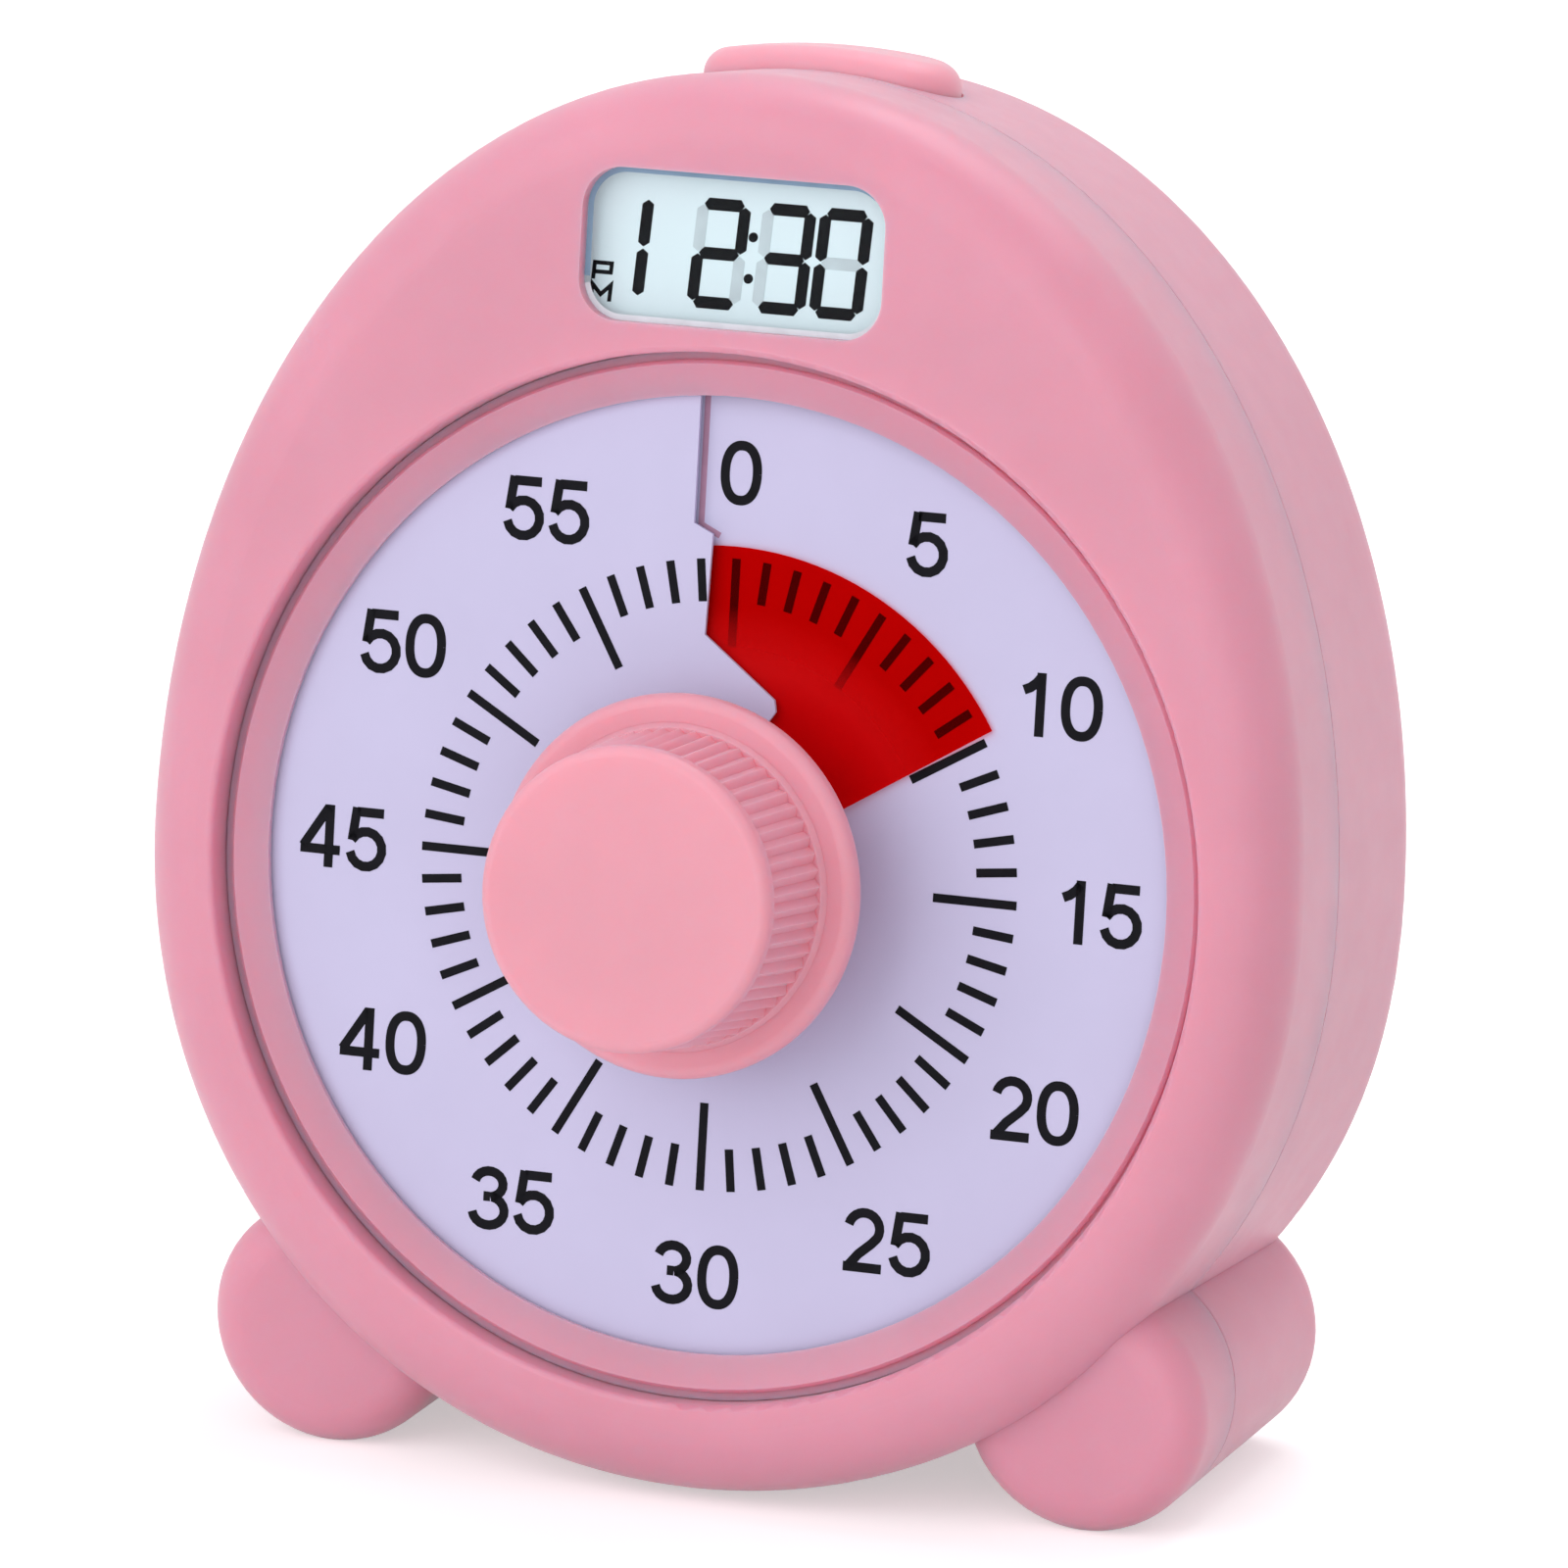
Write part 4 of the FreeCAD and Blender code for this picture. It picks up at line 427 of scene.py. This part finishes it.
def digit_strokes():
    """Centre lines of the plain digits 0 to 5, in mm about the middle of each."""
    ring = []
    for step in range(4 * ARC_STEPS + 1):
        angle = 2.0 * math.pi * step / (4 * ARC_STEPS)
        across = math.cos(angle)
        up = math.sin(angle)
        ring.append((1.24 * math.copysign(abs(across) ** 0.88, across),
                     1.99 * math.copysign(abs(up) ** 0.88, up)))
    two = arc(0.0, 0.82, 1.2, 1.17, 168, -30) + [(0.62, -0.22), (-0.35, -1.05), (-1.02, -1.86)]
    return {
        "0": [ring],
        "1": [[(0.38, 2.3), (0.38, -2.3)], [(0.36, 2.0), (0.02, 1.55), (-0.42, 1.2), (-0.92, 0.98)]],
        "2": [two, [(-1.48, -2.0), (1.46, -2.0)]],
        "3": [arc(-0.03, 1.04, 1.1, 0.95, 168, -82),
              [(-0.42, 0.12), (0.1, 0.12)],
              arc(0.0, -0.92, 1.26, 1.07, 78, -172)],
        "4": [[(0.62, 2.3), (0.62, -2.3)], [(0.52, 2.12), (-1.42, -0.86)],
              [(-1.62, -1.0), (1.5, -1.0)]],
        "5": [[(1.3, 2.0), (-0.78, 2.0)], [(-0.82, 2.3), (-1.12, -0.12)],
              arc(0.0, -0.7, 1.27, 1.29, 152, -168)],
    }


def dial_point(x, z, turn, lift):
    """A point on the dial's front near a turn in degrees clockwise from twelve."""
    angle = math.degrees(math.atan2(x, z))
    while angle < turn - 180.0:
        angle += 360.0
    while angle > turn + 180.0:
        angle -= 360.0
    return place(x, DIAL_Y - DIAL_PITCH * angle / 360.0 - lift, z)


def add_ribbon(mesh, edges, point):
    """Quads along a stroke, with thin side walls, through a function that places points."""
    top = [[mesh.verts.new(point(corner.x, corner.y, INK_LIFT)) for corner in pair] for pair in edges]
    low = [[mesh.verts.new(point(corner.x, corner.y, 0.0)) for corner in pair] for pair in edges]
    for index in range(len(edges) - 1):
        left, right = top[index]
        next_left, next_right = top[index + 1]
        mesh.faces.new((left, right, next_right, next_left))
        mesh.faces.new((left, next_left, low[index + 1][0], low[index][0]))
        mesh.faces.new((right, low[index][1], low[index + 1][1], next_right))
    mesh.faces.new((top[0][0], low[0][0], low[0][1], top[0][1]))
    mesh.faces.new((top[-1][0], top[-1][1], low[-1][1], low[-1][0]))


def as_mesh(name, builder):
    """A builder's faces as mesh data."""
    bmesh.ops.recalc_face_normals(builder, faces=builder.faces)
    mesh = bpy.data.meshes.new(name)
    builder.to_mesh(mesh)
    builder.free()
    return mesh


def dial_ticks():
    """Sixty minute ticks, every fifth one longer."""
    builder = bmesh.new()
    for tick in range(TICK_COUNT):
        turn = 360.0 * tick / TICK_COUNT
        angle = math.radians(turn)
        inner = TICK_LONG_INNER if tick % 5 == 0 else TICK_INNER
        line = [(radius * math.sin(angle), radius * math.cos(angle))
                for radius in (inner, (inner + TICK_OUTER) / 2.0, TICK_OUTER)]
        add_ribbon(builder, strip(line, TICK_WIDTH),
                   lambda x, z, lift, turn=turn: dial_point(x, z, turn, lift))
    add_piece("dial_ticks", as_mesh("dial_ticks", builder), "housing", "dial_ink")


def dial_numbers():
    """Upright numbers 0 to 55 round the dial."""
    builder = bmesh.new()
    strokes = digit_strokes()
    for minute in range(0, TICK_COUNT, 5):
        turn = 360.0 * minute / TICK_COUNT
        angle = math.radians(turn)
        text = str(minute)
        for place_in_number, digit in enumerate(text):
            shift = (place_in_number - (len(text) - 1) / 2.0) * NUMBER_SPACING
            middle_x = NUMBER_RADIUS * math.sin(angle) + shift
            middle_z = NUMBER_RADIUS * math.cos(angle)
            for line in strokes[digit]:
                moved = [(middle_x + x, middle_z + z) for x, z in line]
                add_ribbon(builder, strip(moved, NUMBER_STROKE),
                           lambda x, z, lift, turn=turn: dial_point(x, z, turn, lift))
    add_piece("dial_numbers", as_mesh("dial_numbers", builder), "housing", "dial_ink")


def dial_slit():
    """Painted shadow along the slit, where one end of the dial lies over the other."""
    builder = bmesh.new()
    line = [(SLIT_X + SLIT_SHADOW_WIDTH / 2.0 + x, z) for x, z in SLIT_LINE]
    add_ribbon(builder, strip(line, SLIT_SHADOW_WIDTH),
               lambda x, z, lift: dial_point(x, z, 0.0, lift))
    add_piece("dial_slit_painted_shadow", as_mesh("dial_slit_painted_shadow", builder), "housing", "slit_painted_shadow")


def segment_lines(middle):
    """Centre lines of the seven segments of a digit by their usual letters."""
    left = middle - DIGIT_HALF_WIDTH
    right = middle + DIGIT_HALF_WIDTH
    top = DIGIT_Z + DIGIT_HALF_HEIGHT
    bottom = DIGIT_Z - DIGIT_HALF_HEIGHT
    inset = SEGMENT_INSET
    return {
        "a": ((left + inset, top), (right - inset, top)),
        "b": ((right, top - inset), (right, DIGIT_Z + inset)),
        "c": ((right, DIGIT_Z - inset), (right, bottom + inset)),
        "d": ((left + inset, bottom), (right - inset, bottom)),
        "e": ((left, DIGIT_Z - inset), (left, bottom + inset)),
        "f": ((left, top - inset), (left, DIGIT_Z + inset)),
        "g": ((left + inset, DIGIT_Z), (right - inset, DIGIT_Z)),
    }


def add_segment(builder, start, end):
    """One segment with mitred ends."""
    half = DIGIT_STROKE / 2.0
    along = (Vector(end) - Vector(start)).normalized()
    side = Vector((-along.y, along.x)) * half
    tip = along * half * SEGMENT_TIP
    first = Vector(start)
    last = Vector(end)
    corners = [first - tip, first + side, last + side, last + tip, last - side, first - side]
    add_plate(builder, corners)


def add_plate(builder, corners):
    """A thin plate on the display glass with a slanted outline."""
    rings = []
    for lift in (INK_LIFT, 0.0):
        rings.append([builder.verts.new(place(x + DIGIT_SLANT * (z - DIGIT_Z), GLASS_Y - lift, z))
                      for x, z in corners])
    builder.faces.new(rings[0])
    for index, corner in enumerate(rings[0]):
        following = (index + 1) % len(corners)
        builder.faces.new((corner, rings[1][index], rings[1][following], rings[0][following]))


def display_segments():
    """Dark segments that read 12:30, and the faint ones that are off."""
    dark = bmesh.new()
    faint = bmesh.new()
    for middle, on, off in DIGIT_CELLS:
        lines = segment_lines(middle)
        for letter in on:
            add_segment(dark, *lines[letter])
        for letter in off:
            add_segment(faint, *lines[letter])
    for z in COLON_HEIGHTS:
        add_plate(dark, [Vector(point) for point in arc(COLON_X, z, COLON_RADIUS, COLON_RADIUS, 0, 340)])
    for line in MARK_LINES:
        edges = strip([(MARK_X + x * MARK_SIZE, MARK_Z + z * MARK_SIZE) for x, z in line], MARK_STROKE)
        for first, second in zip(edges, edges[1:]):
            add_plate(dark, [first[0], first[1], second[1], second[0]])
    add_piece("display_segments", as_mesh("display_segments", dark), "housing", "segment_ink")
    add_piece("display_ghosts", as_mesh("display_ghosts", faint), "housing", "segment_ghost")


def pane_edges():
    """Painted shade along the top and left of the clear pane's rim and a painted highlight along the other two, as
    thin ribbons on the pane's front.
    """
    inset = PANE_PAINTED_RIM_WIDTH / 2.0
    across = WINDOW_HALF_WIDTH - WINDOW_CORNER
    up = WINDOW_HALF_HEIGHT - WINDOW_CORNER
    radius = WINDOW_CORNER - inset
    shaded = [(-across - radius, WINDOW_Z - up)]
    shaded += arc(-across, WINDOW_Z + up, radius, radius, 180, 90)
    shaded += arc(across, WINDOW_Z + up, radius, radius, 90, 50)
    bright = arc(across, WINDOW_Z + up, radius, radius, 40, 0)
    bright += arc(across, WINDOW_Z - up, radius, radius, 0, -90)
    bright += arc(-across, WINDOW_Z - up, radius, radius, -90, -170)
    for name, line in (("pane_rim_painted_shade", shaded), ("pane_rim_painted_highlight", bright)):
        builder = bmesh.new()
        add_ribbon(builder, strip(line, PANE_PAINTED_RIM_WIDTH),
                   lambda x, z, lift: place(x, PANE_Y - lift, z))
        add_piece(name, as_mesh(name, builder), "housing", name)


def camera():
    """Camera at the photograph's viewing angle."""
    data = bpy.data.cameras.new("camera")
    data.lens = CAMERA_LENS
    data.sensor_width = SENSOR_WIDTH
    data.clip_end = CAMERA_REACH
    rig = bpy.data.objects.new("camera", data)
    azimuth = math.radians(CAMERA_AZIMUTH)
    elevation = math.radians(CAMERA_ELEVATION)
    back = Vector((math.sin(azimuth) * math.cos(elevation),
                   -math.cos(azimuth) * math.cos(elevation), math.sin(elevation)))
    turn = back.to_track_quat("Z", "Y").to_matrix().to_4x4()
    roll = Matrix.Rotation(math.radians(CAMERA_ROLL), 4, "Z")
    spot = (Vector(CAMERA_AIM) + back * CAMERA_DISTANCE) * MM
    rig.matrix_world = Matrix.Translation(spot) @ turn @ roll
    bpy.context.scene.collection.objects.link(rig)
    bpy.context.scene.camera = rig


def softbox(name, spot, size, power, colour):
    """A square soft light that faces the timer."""
    data = bpy.data.lights.new(name, "AREA")
    data.shape = "SQUARE"
    data.size = size
    data.energy = power
    data.color = colour
    lamp = bpy.data.objects.new(name, data)
    lamp.location = spot
    lamp.rotation_euler = (Vector(spot) - Vector(LIGHT_AIM)).to_track_quat("Z", "Y").to_euler()
    bpy.context.scene.collection.objects.link(lamp)


def seen_directly(nodes, links):
    """1 where the camera, a reflection or clear material looks, else 0."""
    path = nodes.new("ShaderNodeLightPath")
    either = nodes.new("ShaderNodeMath")
    either.operation = "MAXIMUM"
    links.new(path.outputs["Is Camera Ray"], either.inputs[0])
    links.new(path.outputs["Is Glossy Ray"], either.inputs[1])
    both = nodes.new("ShaderNodeMath")
    both.operation = "MAXIMUM"
    links.new(either.outputs[0], both.inputs[0])
    links.new(path.outputs["Is Transmission Ray"], both.inputs[1])
    return both.outputs[0]


def white_floor():
    """White floor that keeps a soft shadow."""
    builder = bmesh.new()
    bmesh.ops.create_circle(builder, cap_ends=True, radius=FLOOR_RADIUS, segments=96)
    mesh = bpy.data.meshes.new("floor")
    builder.to_mesh(mesh)
    builder.free()
    floor = bpy.data.objects.new("floor", mesh)
    bpy.context.scene.collection.objects.link(floor)
    shader = Shader("floor_white")
    shader.colour((FLOOR_GREY, FLOOR_GREY, FLOOR_GREY, 1.0), 0.005, 3.0)
    shader.main.inputs["Roughness"].default_value = 0.9
    shader.main.inputs["Specular IOR Level"].default_value = 0.1
    glow = shader.add("ShaderNodeEmission", Color=(1.0, 1.0, 1.0, 1.0))
    strength = shader.nodes.new("ShaderNodeMath")
    strength.operation = "MULTIPLY"
    strength.inputs[1].default_value = FLOOR_GLOW
    shader.links.new(seen_directly(shader.nodes, shader.links), strength.inputs[0])
    shader.links.new(strength.outputs[0], glow.inputs["Strength"])
    both = shader.nodes.new("ShaderNodeAddShader")
    shader.links.new(shader.main.outputs["BSDF"], both.inputs[0])
    shader.links.new(glow.outputs["Emission"], both.inputs[1])
    shader.links.new(both.outputs["Shader"], shader.output.inputs["Surface"])
    mesh.materials.append(shader.material)


def even_sky():
    """Sky that lights evenly and is brighter where it is seen."""
    world = bpy.data.worlds.new("studio")
    world.use_nodes = True
    nodes = world.node_tree.nodes
    links = world.node_tree.links
    sky = nodes["Background"]
    sky.inputs["Color"].default_value = SKY_COLOUR
    level = nodes.new("ShaderNodeMapRange")
    level.inputs["To Min"].default_value = SKY_LIGHT
    level.inputs["To Max"].default_value = SKY_SEEN
    links.new(seen_directly(nodes, links), level.inputs["Value"])
    links.new(level.outputs["Result"], sky.inputs["Strength"])
    bpy.context.scene.world = world


camera()
white_floor()
even_sky()
for box in SOFTBOXES:
    softbox(*box)
dress_cad()
dial_ticks()
dial_numbers()
dial_slit()
display_segments()
pane_edges()

bpy.context.scene.view_settings.view_transform = "Standard"
